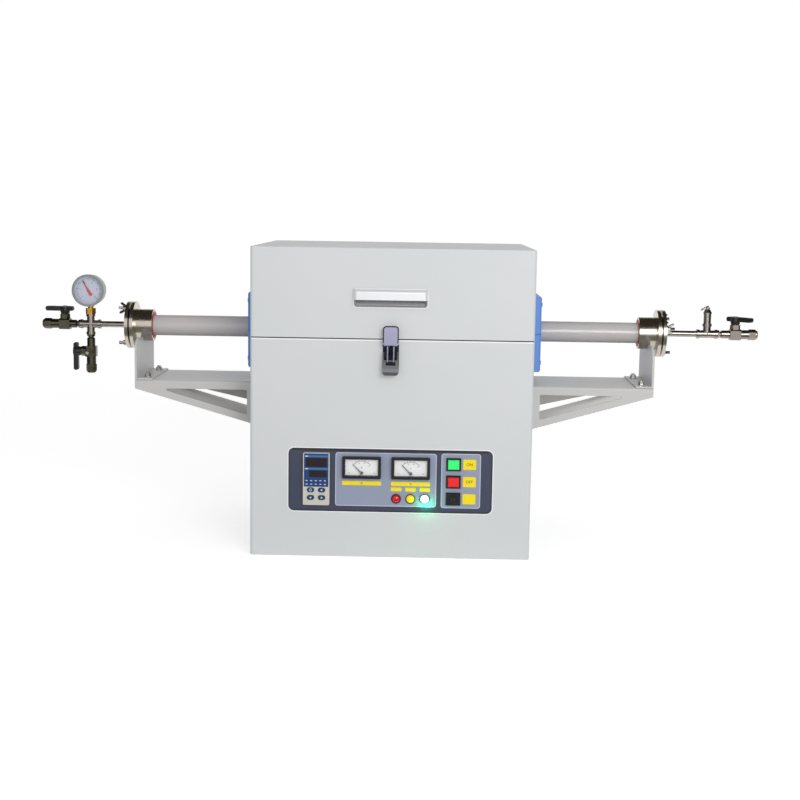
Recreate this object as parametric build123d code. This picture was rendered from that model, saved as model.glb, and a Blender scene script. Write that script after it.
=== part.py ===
from build123d import *
import os
from math import cos, radians, sin, sqrt

# Split tube furnace: a bench cabinet with a hinged lid, a quartz tube that runs
# through both sides, vacuum flanges on brackets, and a gas line at each end.
# Frame: origin at the centre of the cabinet's underside, +X right, +Y back, +Z up.
# All sizes are in millimetres.

# Cabinet and lid
CABINET_WIDTH = 510.0
CABINET_DEPTH = 424.0
SPLIT_HEIGHT = 400.0
LID_HEIGHT = 162.0
SHEET = 2.0
CORNER_RADIUS = 6.0
SPLIT_GAP = 1.0
LIP_WIDTH = 12.0
LIP_DROP = 4.0
DECK_THICKNESS = 2.0
TUBE_NOTCH_RADIUS = 23.0
SEAT_GAP = 0.3

# Furnace chamber
BLOCK_MARGIN = 27.0
BLOCK_DEPTH = 236.0
BLOCK_HEIGHT = 130.0
CHAMBER_RADIUS = 33.0
CHAMBER_LENGTH = 300.0
HEATER_RADIUS = 2.6
HEATER_GROOVE = 3.2
HEATER_COUNT = 5
HEATER_SPREAD = 116.0
TRAY_SHEET = 1.5

PROBE_RADIUS = 2.5
PROBE_DROP = 9.0

# Tube
TUBE_RADIUS = 20.0
TUBE_WALL = 3.0
TUBE_LENGTH = 1000.0

# Control panel
PANEL_WIDTH = 370.0
PANEL_HEIGHT = 116.0
PANEL_CENTRE_Z = 142.0
PANEL_RADIUS = 10.0
PANEL_PLATE = 2.0
PANEL_MARGIN = 11.0
INSTRUMENT_PROUD = 8.0
CONTROLLER_X = -134.0
CONTROLLER_WIDTH = 48.0
CONTROLLER_HEIGHT = 96.0
CONTROLLER_DEPTH = 80.0
KEY_WIDTH = 13.0
KEY_HEIGHT = 8.6
KEY_THICKNESS = 4.0
KEY_PROUD = 1.2
KEY_TRAVEL = 0.5
KEY_SPACING_X = 20.0
KEY_SPACING_Z = 14.0
METER_X = (-52.0, 37.0)
METER_Z = 166.0
METER_WIDTH = 70.0
METER_HEIGHT = 40.0
METER_WINDOW_WIDTH = 60.0
METER_WINDOW_HEIGHT = 30.0
METER_POCKET = 7.0
METER_DEPTH = 45.0
METER_PIVOT_RISE = 4.5
NEEDLE_LENGTH = 23.0
NEEDLE_SWING = 90.0
LAMP_X = (11.0, 37.0, 63.0)
LAMP_Z = 109.0
LAMP_RADIUS = 7.5
LAMP_DEPTH = 25.0
SWITCH_X = 114.5
SWITCH_Z = (174.0, 142.0, 110.5)
SWITCH_PROUD = 4.0
SWITCH_DEPTH = 30.0
SWITCH_WALL = 1.0
SWITCH_FLANGE = 1.0
BUTTON_WIDTH = 20.0
BUTTON_HEIGHT = 17.0
BUTTON_PROUD = 3.5
BUTTON_GAP = 0.3
KEY_BARREL_RADIUS = 6.5
KEY_SLOT = 2.0

# Lid handle and latch
HANDLE_X = -3.5
HANDLE_WIDTH = 135.0
HANDLE_HEIGHT = 35.0
HANDLE_RISE = 72.5
HANDLE_CORNER = 7.0
HANDLE_RIM = 3.0
HOOD_PROUD = 10.0
HOOD_CURVE = 6.5
HOOD_BOTTOM_SHARE = 0.42
HANDLE_RECESS = 18.0
LATCH_X = -2.0
LATCH_WIDTH = 28.0
LATCH_PIVOT_OUT = 7.5
LATCH_PIVOT_DROP = 26.0
CLAW_PIVOT_OUT = 12.0
CLAW_PIVOT_DROP = 38.0
CLAW_CAP_HEIGHT = 36.5
KEEPER_LEDGE_RISE = 9.0
LATCH_PIN_RADIUS = 1.5

# Side covers round the tube passage
COVER_HALF_DEPTH = 70.0
COVER_HALF_HEIGHT = 71.0
COVER_PROUD = 22.0
COVER_EDGE = 3.0
COVER_SHEET = 2.0

# Side brackets and tube supports
BRACKET_REACH = 235.0
BRACKET_DEPTH = 168.0
BRACKET_DROP = 97.0
BRACKET_END_HEIGHT = 17.0
BRACKET_ROOT_HEIGHT = 84.0
BRACKET_SHEET = 3.0
BRACKET_BEND = 4.0
WINDOW_ROOT_STRIP = 22.0
WINDOW_TOP_STRIP = 16.0
WINDOW_SLOPE_STRIP = 14.0
WINDOW_TIP = 60.0
REAR_SLOT = 15.0
SADDLE_SHEET = 4.0
SADDLE_FOOT = 33.0
SADDLE_TOP_DROP = 21.0
SADDLE_SHOULDER = 24.0
SADDLE_BOLT_Y = 55.0
FOOT_BOLT = 10.0
BRACKET_BOLT = 8.0
SCREW_HEAD = 6.5

# Vacuum flanges
BARREL_RADIUS = 31.0
BARREL_START = 468.0
SADDLE_INSET = 20.0
DISC_RADIUS = 45.5
DISC_START = 502.0
DISC_THICKNESS = 6.5
DISC_GAP = 3.0
SEAL_BORE_RADIUS = 22.6
SEAL_DEPTH = 16.0
STUD_RADIUS = 3.0
STUD_CIRCLE = 38.5
STUD_LENGTH = 15.0
WING_HUB_RADIUS = 5.6
LEFT_STUDS = (60.0, -60.0, 180.0)
RIGHT_STUDS = (18.0, -102.0, 138.0)

# Gas lines
PIPE_RADIUS = 6.0
PIPE_FIT = 0.02
PIPE_SINK = 1.0
ARM_RADIUS = 7.5
COLLAR_RADIUS = 9.0
COLLAR_LENGTH = 5.0
CROSS_X = 592.0
CROSS_ARM = 20.0
TEE_X = 601.0
TEE_ARM = 20.0
VALVE_BODY_RADIUS = 7.8
VALVE_BLOCK = 20.5
VALVE_BLOCK_HEIGHT = 21.0
VALVE_ENTRY_FLATS = 13.5
BONNET_FLATS = 17.0
NUT_FLATS = 18.0
NUT_LENGTH = 17.0
HOSE_BORE = 4.1
HOSE_BORE_DEPTH = 16.0
LEFT_VALVE_X = 642.0
LEFT_END_X = 685.0
RIGHT_VALVE_X = 655.0
RIGHT_END_X = 698.0
DRAIN_DROP = 53.0
DRAIN_END_DROP = 95.0
LEVER_LONG = 37.0
LEVER_SHORT = 17.0
LEVER_THICKNESS = 9.5
LEVER_RISE = 24.5
LEVER_HUB = 9.3
STEM_RADIUS = 3.0
STEM_CLEARANCE = 0.3
RIGHT_LEVER_ANGLE = -45.0

# Pressure gauge
GAUGE_RISE = 66.0
GAUGE_RADIUS = 31.0
GAUGE_FRONT = -24.0
GAUGE_DEPTH = 30.0
GAUGE_BEZEL = 4.5
DIAL_SINK = 7.0
POINTER_LENGTH = 20.5
POINTER_TAIL = 11.5
POINTER_ANGLE = -30.0
ADAPTER_HEX = 17.0

# Relief valve
RELIEF_RADIUS = 7.2
RELIEF_TOP = 43.0
RELIEF_STEM_RADIUS = 2.0
RING_RADIUS = 7.5
RING_LEAN = 30.0
RING_WIRE = 0.8

# Rear hinges and rear panel
HINGE_X = 165.0
HINGE_WIDTH = 60.0
HINGE_OFFSET = 6.0
KNUCKLE_RADIUS = 5.0
KNUCKLE_GAP = 0.5
HINGE_PIN_RADIUS = 2.5
LEAF_SHEET = 2.5
LEAF_HEIGHT = 38.0
REAR_PANEL_WIDTH = 470.0
REAR_PANEL_BOTTOM = 22.0
REAR_PANEL_DROP = 50.0
LOUVRE_WIDTH = 140.0
LOUVRE_HEIGHT = 9.0
LOUVRE_PITCH = 20.0
LOUVRE_COUNT = 7
GLAND_INSET = 45.0
GLAND_Z = 60.0
GLAND_BORE = 4.5
GLAND_WALL = 3.5

# Values worked out from the sizes above
FRONT_Y = -CABINET_DEPTH / 2
BACK_Y = CABINET_DEPTH / 2
SIDE_X = CABINET_WIDTH / 2
TUBE_Z = SPLIT_HEIGHT
LOWER_TOP = SPLIT_HEIGHT - SPLIT_GAP / 2
LID_BOTTOM = SPLIT_HEIGHT + SPLIT_GAP / 2
LID_TOP = SPLIT_HEIGHT + LID_HEIGHT
BLOCK_WIDTH = CABINET_WIDTH - 2 * BLOCK_MARGIN
PANEL_Y = FRONT_Y + SHEET
INSTRUMENT_Y = PANEL_Y - INSTRUMENT_PROUD
CAP_START = DISC_START + DISC_THICKNESS + DISC_GAP
CAP_END = CAP_START + DISC_THICKNESS
BRACKET_TOP_Z = TUBE_Z - BRACKET_DROP
HANDLE_CENTRE_Z = SPLIT_HEIGHT + HANDLE_RISE
REAR_PANEL_TOP = SPLIT_HEIGHT - REAR_PANEL_DROP
SADDLE_X = BARREL_START + SADDLE_INSET
LATCH_PIVOT_Z = SPLIT_HEIGHT - LATCH_PIVOT_DROP
CLAW_PIVOT_Z = SPLIT_HEIGHT - CLAW_PIVOT_DROP
LEDGE_Z = SPLIT_HEIGHT + KEEPER_LEDGE_RISE
HINGE_Y = BACK_Y + HINGE_OFFSET
GAUGE_Z = TUBE_Z + GAUGE_RISE
CONTROLLER_Z = PANEL_CENTRE_Z + 2.0
METER_PIVOT_Z = METER_Z - METER_WINDOW_HEIGHT / 2 + METER_PIVOT_RISE
SWITCH_PASSAGE = (BUTTON_WIDTH / 2 + BUTTON_GAP, BUTTON_HEIGHT / 2 + BUTTON_GAP)
GLAND_X = REAR_PANEL_WIDTH / 2 - GLAND_INSET
GLAND_RADIUS = GLAND_BORE + GLAND_WALL


def block(x0, x1, y0, y1, z0, z1):
    """A box between two corners."""
    return Pos((x0 + x1) / 2, (y0 + y1) / 2, (z0 + z1) / 2) * Box(x1 - x0, y1 - y0, z1 - z0)


def bar_x(radius, x0, x1, y=0.0, z=TUBE_Z):
    """A round bar along X."""
    return Pos((x0 + x1) / 2, y, z) * Rot(0, 90, 0) * Cylinder(radius, abs(x1 - x0))


def bar_y(radius, y0, y1, x, z):
    """A round bar along Y."""
    return Pos(x, (y0 + y1) / 2, z) * Rot(90, 0, 0) * Cylinder(radius, abs(y1 - y0))


def bar_z(radius, z0, z1, x, y=0.0):
    """A round bar along Z."""
    return Pos(x, y, (z0 + z1) / 2) * Cylinder(radius, abs(z1 - z0))


def turned(outline):
    """A lathe-turned piece round +Z from its half section, as (radius, height) points."""
    section = make_face(Polyline(*[(r, 0, h) for r, h in outline], close=True))
    return revolve(section, Axis.Z)


def hexagon(across_flats, height):
    """A hexagonal bar that stands on the origin, along +Z."""
    return extrude(RegularPolygon(across_flats / 2, 6, major_radius=False), height)


def outward(side, distance=0.0):
    """Turns a piece made along +Z so that it points out along X from the tube's axis."""
    return Pos(side * distance, 0, TUBE_Z) * Rot(0, 90 * side, 0)


def plate_y(outline, y0, y1):
    """A plate cut to (x, z) points, between two depths."""
    face = make_face(Polyline(*[(x, y0, z) for x, z in outline], close=True))
    return extrude(face, amount=y1 - y0, dir=(0, 1, 0))


def plate_x(outline, x0, x1):
    """A plate cut to (y, z) points, between two stations along X."""
    face = make_face(Polyline(*[(x0, y, z) for y, z in outline], close=True))
    return extrude(face, amount=x1 - x0, dir=(1, 0, 0))


def rounded_plate_y(width, height, radius, x, z, y0, y1):
    """An upright plate with rounded corners, facing front."""
    return Pos(x, y1, z) * Rot(90, 0, 0) * extrude(RectangleRounded(width, height, radius), y1 - y0)


def hollow_box(bottom, top):
    """A tray of sheet metal, open on top, with rounded upright edges and an inner lip."""
    outside = block(-SIDE_X, SIDE_X, FRONT_Y, BACK_Y, bottom, top)
    outside = fillet(outside.edges().filter_by(Axis.Z), CORNER_RADIUS)
    return outside - shell_inside(bottom + SHEET, top)


def shell_inside(bottom, top):
    """The space between a shell's four walls."""
    return block(-SIDE_X + SHEET, SIDE_X - SHEET, FRONT_Y + SHEET, BACK_Y - SHEET, bottom, top)


def lip_ring(bottom, top):
    """The folded lip that runs round the inside of a shell and carries its deck."""
    reach = LIP_WIDTH
    ring = shell_inside(bottom, top)
    return ring - block(-SIDE_X + SHEET + reach, SIDE_X - SHEET - reach,
                        FRONT_Y + SHEET + reach, BACK_Y - SHEET - reach, bottom, top)


def tube_passage(radius=TUBE_NOTCH_RADIUS):
    """The round passage that both shells leave for the tube."""
    return bar_x(radius, -SIDE_X - 1, SIDE_X + 1)


# ---------------------------------------------------------------- cabinet

def cabinet_shell():
    shell = hollow_box(0, LOWER_TOP)
    shell += lip_ring(LOWER_TOP - LIP_DROP - SHEET, LOWER_TOP - LIP_DROP)
    shell -= tube_passage()
    shell -= rounded_plate_y(PANEL_WIDTH, PANEL_HEIGHT, PANEL_RADIUS, 0, PANEL_CENTRE_Z,
                             FRONT_Y, FRONT_Y + SHEET)
    edge = LIP_WIDTH
    shell -= block(-REAR_PANEL_WIDTH / 2 + edge, REAR_PANEL_WIDTH / 2 - edge, BACK_Y - SHEET, BACK_Y,
                   REAR_PANEL_BOTTOM + edge, REAR_PANEL_TOP - edge)
    return shell


def louvre(x, z):
    """A pressed louvre: a hood that leans out over its slot."""
    face = BACK_Y + TRAY_SHEET
    mouth = face + LOUVRE_HEIGHT / 2
    hood = [(face, z + LOUVRE_HEIGHT), (mouth, z), (mouth - TRAY_SHEET, z),
            (BACK_Y, z + LOUVRE_HEIGHT - TRAY_SHEET)]
    return plate_x(hood, x - LOUVRE_WIDTH / 2, x + LOUVRE_WIDTH / 2)


def back_panel():
    panel = block(-REAR_PANEL_WIDTH / 2, REAR_PANEL_WIDTH / 2, BACK_Y, BACK_Y + TRAY_SHEET,
                  REAR_PANEL_BOTTOM, REAR_PANEL_TOP)
    first = REAR_PANEL_TOP - 2 * LIP_WIDTH - LOUVRE_PITCH
    for x in (-LOUVRE_WIDTH * 0.65, LOUVRE_WIDTH * 0.65):
        for row in range(LOUVRE_COUNT):
            z = first - row * LOUVRE_PITCH
            panel -= block(x - LOUVRE_WIDTH / 2 + 2, x + LOUVRE_WIDTH / 2 - 2, BACK_Y, BACK_Y + TRAY_SHEET,
                           z, z + LOUVRE_HEIGHT - 2 * TRAY_SHEET)
            panel += louvre(x, z)
    return panel - bar_y(GLAND_RADIUS, BACK_Y, BACK_Y + TRAY_SHEET, GLAND_X, GLAND_Z)


def mains_gland():
    """Nylon cable gland: locknut inside, hexagon and domed nut outside."""
    body = turned([(GLAND_BORE, -8), (GLAND_RADIUS, -8), (GLAND_RADIUS, 15), (GLAND_RADIUS - 2, 20),
                   (GLAND_BORE, 20)])
    collar = hexagon(2 * GLAND_RADIUS + 8, 6) + Pos(0, 0, 6) * hexagon(2 * GLAND_RADIUS + 3, 8)
    collar -= Cylinder(GLAND_RADIUS - 1, 60)
    return Pos(GLAND_X, BACK_Y + TRAY_SHEET, GLAND_Z) * Rot(-90, 0, 0) * (body + collar)


def deck_ring(bottom, top):
    """The flat deck between a shell's lip and the insulation block."""
    gap = SEAT_GAP
    ring = block(-SIDE_X + SHEET + gap, SIDE_X - SHEET - gap, FRONT_Y + SHEET + gap, BACK_Y - SHEET - gap,
                 bottom, top)
    hole_x = BLOCK_WIDTH / 2 + TRAY_SHEET + 2 * gap
    hole_y = BLOCK_DEPTH / 2 + TRAY_SHEET + 2 * gap
    return ring - block(-hole_x, hole_x, -hole_y, hole_y, bottom, top) - tube_passage()


def heater_angles(above):
    """The angles of the heater rods round the tube, from the front over or under it."""
    middle = 90.0 if above else -90.0
    step = HEATER_SPREAD / (HEATER_COUNT - 1)
    return [middle - HEATER_SPREAD / 2 + step * i for i in range(HEATER_COUNT)]


def heater_rods(above, radius, half_length):
    """Eight-sided rods of heating wire laid along the chamber, or with a larger radius their grooves."""
    rods = []
    for angle in heater_angles(above):
        y = CHAMBER_RADIUS * cos(radians(angle))
        z = TUBE_Z + CHAMBER_RADIUS * sin(radians(angle))
        rod = extrude(RegularPolygon(radius, 8), 2 * half_length)
        rods.append(Pos(-half_length, y, z) * Rot(0, 90, 0) * rod)
    return rods


def insulation(above):
    """Half of the fibre block: a wide chamber between two close end plugs."""
    z0 = LID_BOTTOM if above else LOWER_TOP - BLOCK_HEIGHT
    half = block(-BLOCK_WIDTH / 2, BLOCK_WIDTH / 2, -BLOCK_DEPTH / 2, BLOCK_DEPTH / 2, z0, z0 + BLOCK_HEIGHT)
    half -= bar_x(CHAMBER_RADIUS, -CHAMBER_LENGTH / 2, CHAMBER_LENGTH / 2)
    half -= tube_passage()
    for groove in heater_rods(above, HEATER_GROOVE, CHAMBER_LENGTH / 2 - 4):
        half -= groove
    return half


def insulation_tray(above):
    """Thin steel tray that carries an insulation block and hangs from its deck."""
    gap = SEAT_GAP
    x, y = BLOCK_WIDTH / 2 + gap, BLOCK_DEPTH / 2 + gap
    t = TRAY_SHEET
    reach = BLOCK_HEIGHT + gap
    z0, z1 = (LID_BOTTOM, LID_BOTTOM + reach) if above else (LOWER_TOP - reach, LOWER_TOP)
    low, high = (z0, z1 + t) if above else (z0 - t, z1)
    tray = block(-x - t, x + t, -y - t, y + t, low, high)
    tray -= block(-x, x, -y, y, z0, z1)
    return tray - tube_passage()


def power_module():
    """Thyristor power controller: a finned heat sink with its electronics case."""
    base = block(-60, 60, 40, 140, SHEET + SEAT_GAP, SHEET + 12)
    module = base + block(-45, 45, 55, 125, SHEET + 12, SHEET + 60)
    for x in range(-56, 57, 16):
        module += block(x - 1.5, x + 1.5, 40, 50, SHEET + 12, SHEET + 60)
    return module


def thermocouple():
    """Sheathed thermocouple that reaches the tube from the rear, just below the split."""
    z = TUBE_Z - PROBE_DROP
    tip = TUBE_RADIUS + 1.0
    head = BLOCK_DEPTH / 2 + TRAY_SHEET + 2 * SEAT_GAP
    terminal = block(-8, 8, head, head + 22, z - 10, z - PROBE_RADIUS)
    terminal += bar_y(PROBE_RADIUS + 2, head, head + 22, 0, z - 5)
    return bar_y(PROBE_RADIUS, tip, head + 1, 0, z) + terminal


def thermocouple_hole():
    return bar_y(PROBE_RADIUS + SEAT_GAP, 0, BACK_Y - 20, 0, TUBE_Z - PROBE_DROP)


def quartz_tube():
    half = TUBE_LENGTH / 2
    return bar_x(TUBE_RADIUS, -half, half) - bar_x(TUBE_RADIUS - TUBE_WALL, -half, half)


# ---------------------------------------------------------------- control panel

def controller_cutout():
    x = CONTROLLER_WIDTH / 2 - 1.5
    z = CONTROLLER_HEIGHT / 2 - 2
    return (CONTROLLER_X - x, CONTROLLER_X + x, CONTROLLER_Z - z, CONTROLLER_Z + z)


def key_places():
    """Centres of the four oval keys, as (x, z)."""
    low = CONTROLLER_Z - CONTROLLER_HEIGHT / 2 + KEY_SPACING_Z
    half = KEY_SPACING_X / 2
    return [(CONTROLLER_X + dx, low + dz) for dz in (KEY_SPACING_Z, 0) for dx in (-half, half)]


def key_pill(x, z, y0, y1, extra=0.0):
    pill = SlotOverall(KEY_WIDTH + 2 * extra, KEY_HEIGHT + 2 * extra)
    return Pos(x, y1, z) * Rot(90, 0, 0) * extrude(pill, y1 - y0)


def control_panel():
    m = PANEL_MARGIN
    plate = rounded_plate_y(PANEL_WIDTH + 2 * m, PANEL_HEIGHT + 2 * m, PANEL_RADIUS, 0, PANEL_CENTRE_Z,
                            PANEL_Y, PANEL_Y + PANEL_PLATE)
    x0, x1, z0, z1 = controller_cutout()
    plate -= block(x0 - SEAT_GAP, x1 + SEAT_GAP, PANEL_Y, PANEL_Y + PANEL_PLATE, z0 - SEAT_GAP, z1 + SEAT_GAP)
    for x in METER_X:
        plate -= meter_barrel(x, SEAT_GAP, PANEL_Y, PANEL_Y + PANEL_PLATE)
    for x in LAMP_X:
        plate -= bar_y(LAMP_RADIUS, PANEL_Y, PANEL_Y + PANEL_PLATE, x, LAMP_Z)
    for z in SWITCH_Z:
        plate -= switch_block(z, SWITCH_WALL + SEAT_GAP, PANEL_Y, PANEL_Y + PANEL_PLATE)
    return plate


def controller_housing():
    """Panel instrument: bezel in front of the panel, case behind it, pockets for keys and display."""
    housing = rounded_plate_y(CONTROLLER_WIDTH, CONTROLLER_HEIGHT, 2.5, CONTROLLER_X, CONTROLLER_Z,
                              INSTRUMENT_Y, PANEL_Y)
    x0, x1, z0, z1 = controller_cutout()
    housing += block(x0, x1, PANEL_Y, PANEL_Y + CONTROLLER_DEPTH, z0, z1)
    housing -= display_window(0.0, 1.5)
    pocket = KEY_THICKNESS - KEY_PROUD + KEY_TRAVEL + SEAT_GAP
    for x, key_z in key_places():
        housing -= key_pill(x, key_z, INSTRUMENT_Y, INSTRUMENT_Y + pocket, 0.2)
    return housing


def display_window(inset, depth):
    """The tinted front sheet over the read-outs."""
    top = CONTROLLER_Z + CONTROLLER_HEIGHT / 2 - 3.5
    bottom = key_places()[0][1] + KEY_HEIGHT / 2 + 2.5
    half = CONTROLLER_WIDTH / 2 - 3.5
    return block(CONTROLLER_X - half + inset, CONTROLLER_X + half - inset, INSTRUMENT_Y, INSTRUMENT_Y + depth,
                 bottom + inset, top - inset)


def controller_key(x, z):
    front = INSTRUMENT_Y - KEY_PROUD
    return key_pill(x, z, front, front + KEY_THICKNESS)


def meter_cases():
    """Two moving-coil panel meters, each with its movement's case behind the panel."""
    cases = []
    for x in METER_X:
        case = rounded_plate_y(METER_WIDTH, METER_HEIGHT, 2.0, x, METER_Z, INSTRUMENT_Y, PANEL_Y)
        case += meter_barrel(x, 0.0, PANEL_Y, PANEL_Y + METER_DEPTH)
        case -= meter_pocket(x, 0.0, METER_POCKET)
        case += bar_y(3.0, INSTRUMENT_Y + 4.5, INSTRUMENT_Y + METER_POCKET, x, METER_PIVOT_Z)
        cases.append(case)
    return cases


def meter_barrel(x, margin, y0, y1):
    """The square case of a meter's movement, or with a margin the panel's cut-out for it."""
    half = METER_HEIGHT / 2 - 2.2 + margin
    return block(x - half, x + half, y0, y1, METER_Z - half, METER_Z + half)


def meter_pocket(x, inset, depth):
    w, h = METER_WINDOW_WIDTH / 2 - inset, METER_WINDOW_HEIGHT / 2 - inset
    return block(x - w, x + w, INSTRUMENT_Y, INSTRUMENT_Y + depth, METER_Z - h, METER_Z + h)


def meter_needle(x):
    """Aluminium needle at zero, leaning to the left end of its scale."""
    y0, y1 = INSTRUMENT_Y + 2.9, INSTRUMENT_Y + 4.2
    z = METER_PIVOT_Z
    tip = z + NEEDLE_LENGTH
    blade = plate_y([(x - 1.2, z - 1), (x + 1.2, z - 1), (x + 0.4, tip), (x - 0.4, tip)], y0, y1)
    needle = blade + bar_y(2.6, y0, y1, x, z)
    return needle.rotate(Axis((x, 0, z), (0, 1, 0)), -NEEDLE_SWING / 2)


def dial_windows():
    """Glass over the two meters and the gauge."""
    panes = [meter_pocket(x, 0.2, 1.5) for x in METER_X]
    y = GAUGE_FRONT + 1.0
    panes.append(bar_y(GAUGE_RADIUS - GAUGE_BEZEL + 1.5, y, y + 1.5, -CROSS_X, GAUGE_Z))
    return panes


def switch_block(z, margin, y0, y1):
    """A block round a switch's passage, wider than it by a margin on each side."""
    x, half = SWITCH_PASSAGE[0] + margin, SWITCH_PASSAGE[1] + margin
    return block(SWITCH_X - x, SWITCH_X + x, y0, y1, z - half, z + half)


def switch_housing(z):
    """Rectangular housing that clips into the panel from the front, with a closed back."""
    front = PANEL_Y - SWITCH_PROUD
    back = PANEL_Y + SWITCH_DEPTH
    flange = switch_block(z, SWITCH_WALL + 2 * SWITCH_FLANGE, front, PANEL_Y)
    flange = chamfer(flange.faces().sort_by(Axis.Y)[0].edges(), SWITCH_FLANGE)
    return flange + switch_block(z, SWITCH_WALL, PANEL_Y, back)


def panel_bezels():
    """Housings of the two push buttons and the key switch."""
    y0, y1 = PANEL_Y - SWITCH_PROUD, PANEL_Y + SWITCH_DEPTH - SWITCH_WALL
    pieces = [switch_housing(z) - switch_block(z, 0, y0, y1) for z in SWITCH_Z[:2]]
    z = SWITCH_Z[2]
    pieces.append(switch_housing(z) - bar_y(KEY_BARREL_RADIUS + BUTTON_GAP, y0, y1, SWITCH_X, z))
    return pieces


def lamp_lenses():
    """Domed lenses of the three pilot lamps, with their holders behind the panel."""
    barrel = LAMP_RADIUS - 0.3
    profile = [(0, -LAMP_DEPTH), (barrel, -LAMP_DEPTH), (barrel, 3.6), (barrel - 2.2, 6), (0, 6)]
    return [Pos(x, PANEL_Y, LAMP_Z) * Rot(90, 0, 0) * turned(profile) for x in LAMP_X]


def push_button(z):
    """Rectangular push button cap with bevelled edges and its plunger behind it."""
    front = PANEL_Y - SWITCH_PROUD - BUTTON_PROUD
    cap = block(SWITCH_X - BUTTON_WIDTH / 2, SWITCH_X + BUTTON_WIDTH / 2, front, PANEL_Y + 8,
                z - BUTTON_HEIGHT / 2, z + BUTTON_HEIGHT / 2)
    cap = chamfer(cap.faces().sort_by(Axis.Y)[0].edges(), 1.2)
    return cap + block(SWITCH_X - 5, SWITCH_X + 5, PANEL_Y + 8, PANEL_Y + 20, z - 5, z + 5)


def key_rotor():
    """Key switch barrel with its slot upright, at the off mark."""
    front = PANEL_Y - SWITCH_PROUD - 1.2
    z = SWITCH_Z[2]
    barrel = bar_y(KEY_BARREL_RADIUS, front, PANEL_Y + SWITCH_DEPTH - 4, SWITCH_X, z)
    half = KEY_SLOT / 2
    return barrel - block(SWITCH_X - half, SWITCH_X + half, front, front + 3, z - 4.5, z + 4.5)


# ---------------------------------------------------------------- lid

def lid_shell():
    lid = block(-SIDE_X, SIDE_X, FRONT_Y, BACK_Y, LID_BOTTOM, LID_TOP)
    lid = fillet(lid.edges().filter_by(Axis.Z), CORNER_RADIUS)
    lid = fillet(lid.faces().sort_by(Axis.Z)[-1].edges(), SHEET)
    lid -= shell_inside(LID_BOTTOM, LID_TOP - SHEET)
    lid += lip_ring(LID_BOTTOM + LIP_DROP, LID_BOTTOM + LIP_DROP + SHEET)
    lid -= tube_passage()
    x = HANDLE_WIDTH / 2 - 3
    z = HANDLE_HEIGHT / 2 - 3
    low, high = HANDLE_CENTRE_Z - z, HANDLE_CENTRE_Z + z
    return lid - block(HANDLE_X - x, HANDLE_X + x, FRONT_Y, FRONT_Y + SHEET, low, high)


def lid_deck():
    return deck_ring(LID_BOTTOM + LIP_DROP - DECK_THICKNESS, LID_BOTTOM + LIP_DROP)


def lid_handle():
    """Flush pull: a recessed pan with a sloped floor, and a hood with rounded ends above it."""
    low = HANDLE_CENTRE_Z - HANDLE_HEIGHT / 2
    high = HANDLE_CENTRE_Z + HANDLE_HEIGHT / 2
    hood_low = low + HANDLE_HEIGHT * HOOD_BOTTOM_SHARE
    x0, x1 = HANDLE_X - HANDLE_WIDTH / 2, HANDLE_X + HANDLE_WIDTH / 2
    front = FRONT_Y - HANDLE_RIM
    rim = rounded_plate_y(HANDLE_WIDTH, HANDLE_HEIGHT, HANDLE_CORNER, HANDLE_X, HANDLE_CENTRE_Z,
                          front, FRONT_Y)
    nose = FRONT_Y - HOOD_PROUD
    hood = block(x0 + 1, x1 - 1, nose, front, hood_low, high - 1)
    outer_edges = hood.faces().sort_by(Axis.Y)[0].edges()
    hood = fillet([edge for edge in outer_edges if edge.center().Z > hood_low + 1], HOOD_CURVE)
    pan = block(x0 + 3.3, x1 - 3.3, FRONT_Y, FRONT_Y + HANDLE_RECESS, low + 3.3, high - 3.3)
    floor = FRONT_Y + HANDLE_RECESS - 1.5
    cavity = plate_x([(front, high - 5), (nose + 4, high - 9), (nose + 2, high - 15), (nose + 2, low + 5),
                      (FRONT_Y, low + 5), (floor, low + 13), (floor, high - 5)], x0 + 5, x1 - 5)
    opening = RectangleRounded(HANDLE_WIDTH - 3.6, HANDLE_HEIGHT - 3.6, HANDLE_CORNER - 1.8)
    mouth = Pos(HANDLE_X, front, HANDLE_CENTRE_Z) * Rot(-90, 0, 0) * extrude(opening, HANDLE_RIM, taper=45)
    mouth &= block(x0, x1, front - 1, FRONT_Y + 1, low, hood_low)
    return rim + hood + pan - cavity - mouth


def latch_keeper():
    """Keeper plate on the lid with the ledge that the claw pulls down on."""
    half = LATCH_WIDTH / 2 - 5
    y = FRONT_Y
    return plate_x([(y, LEDGE_Z + 9), (y - 2, LEDGE_Z + 9), (y - 2, LEDGE_Z), (y - 6, LEDGE_Z),
                    (y - 6, LEDGE_Z - 3.5), (y, LEDGE_Z - 3.5)], LATCH_X - half, LATCH_X + half)


def latch_base():
    """Base plate on the cabinet with two ears and the fixed pivot pin."""
    y = FRONT_Y
    half = LATCH_WIDTH / 2
    pivot = LATCH_PIVOT_Z
    base = rounded_plate_y(LATCH_WIDTH + 1, 56, 5, LATCH_X, pivot - 8, y - 1.5, y)
    tip = y - LATCH_PIVOT_OUT - 3
    for s in (-1, 1):
        x = LATCH_X + s * (half - 4)
        base += plate_x([(y - 1.5, pivot - 12), (tip, pivot - 4), (tip, pivot + 4), (y - 1.5, pivot + 12)],
                        x - 0.75, x + 0.75)
    reach = half - 0.65
    return base + bar_x(LATCH_PIN_RADIUS, LATCH_X - reach, LATCH_X + reach, y - LATCH_PIVOT_OUT, pivot)


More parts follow.
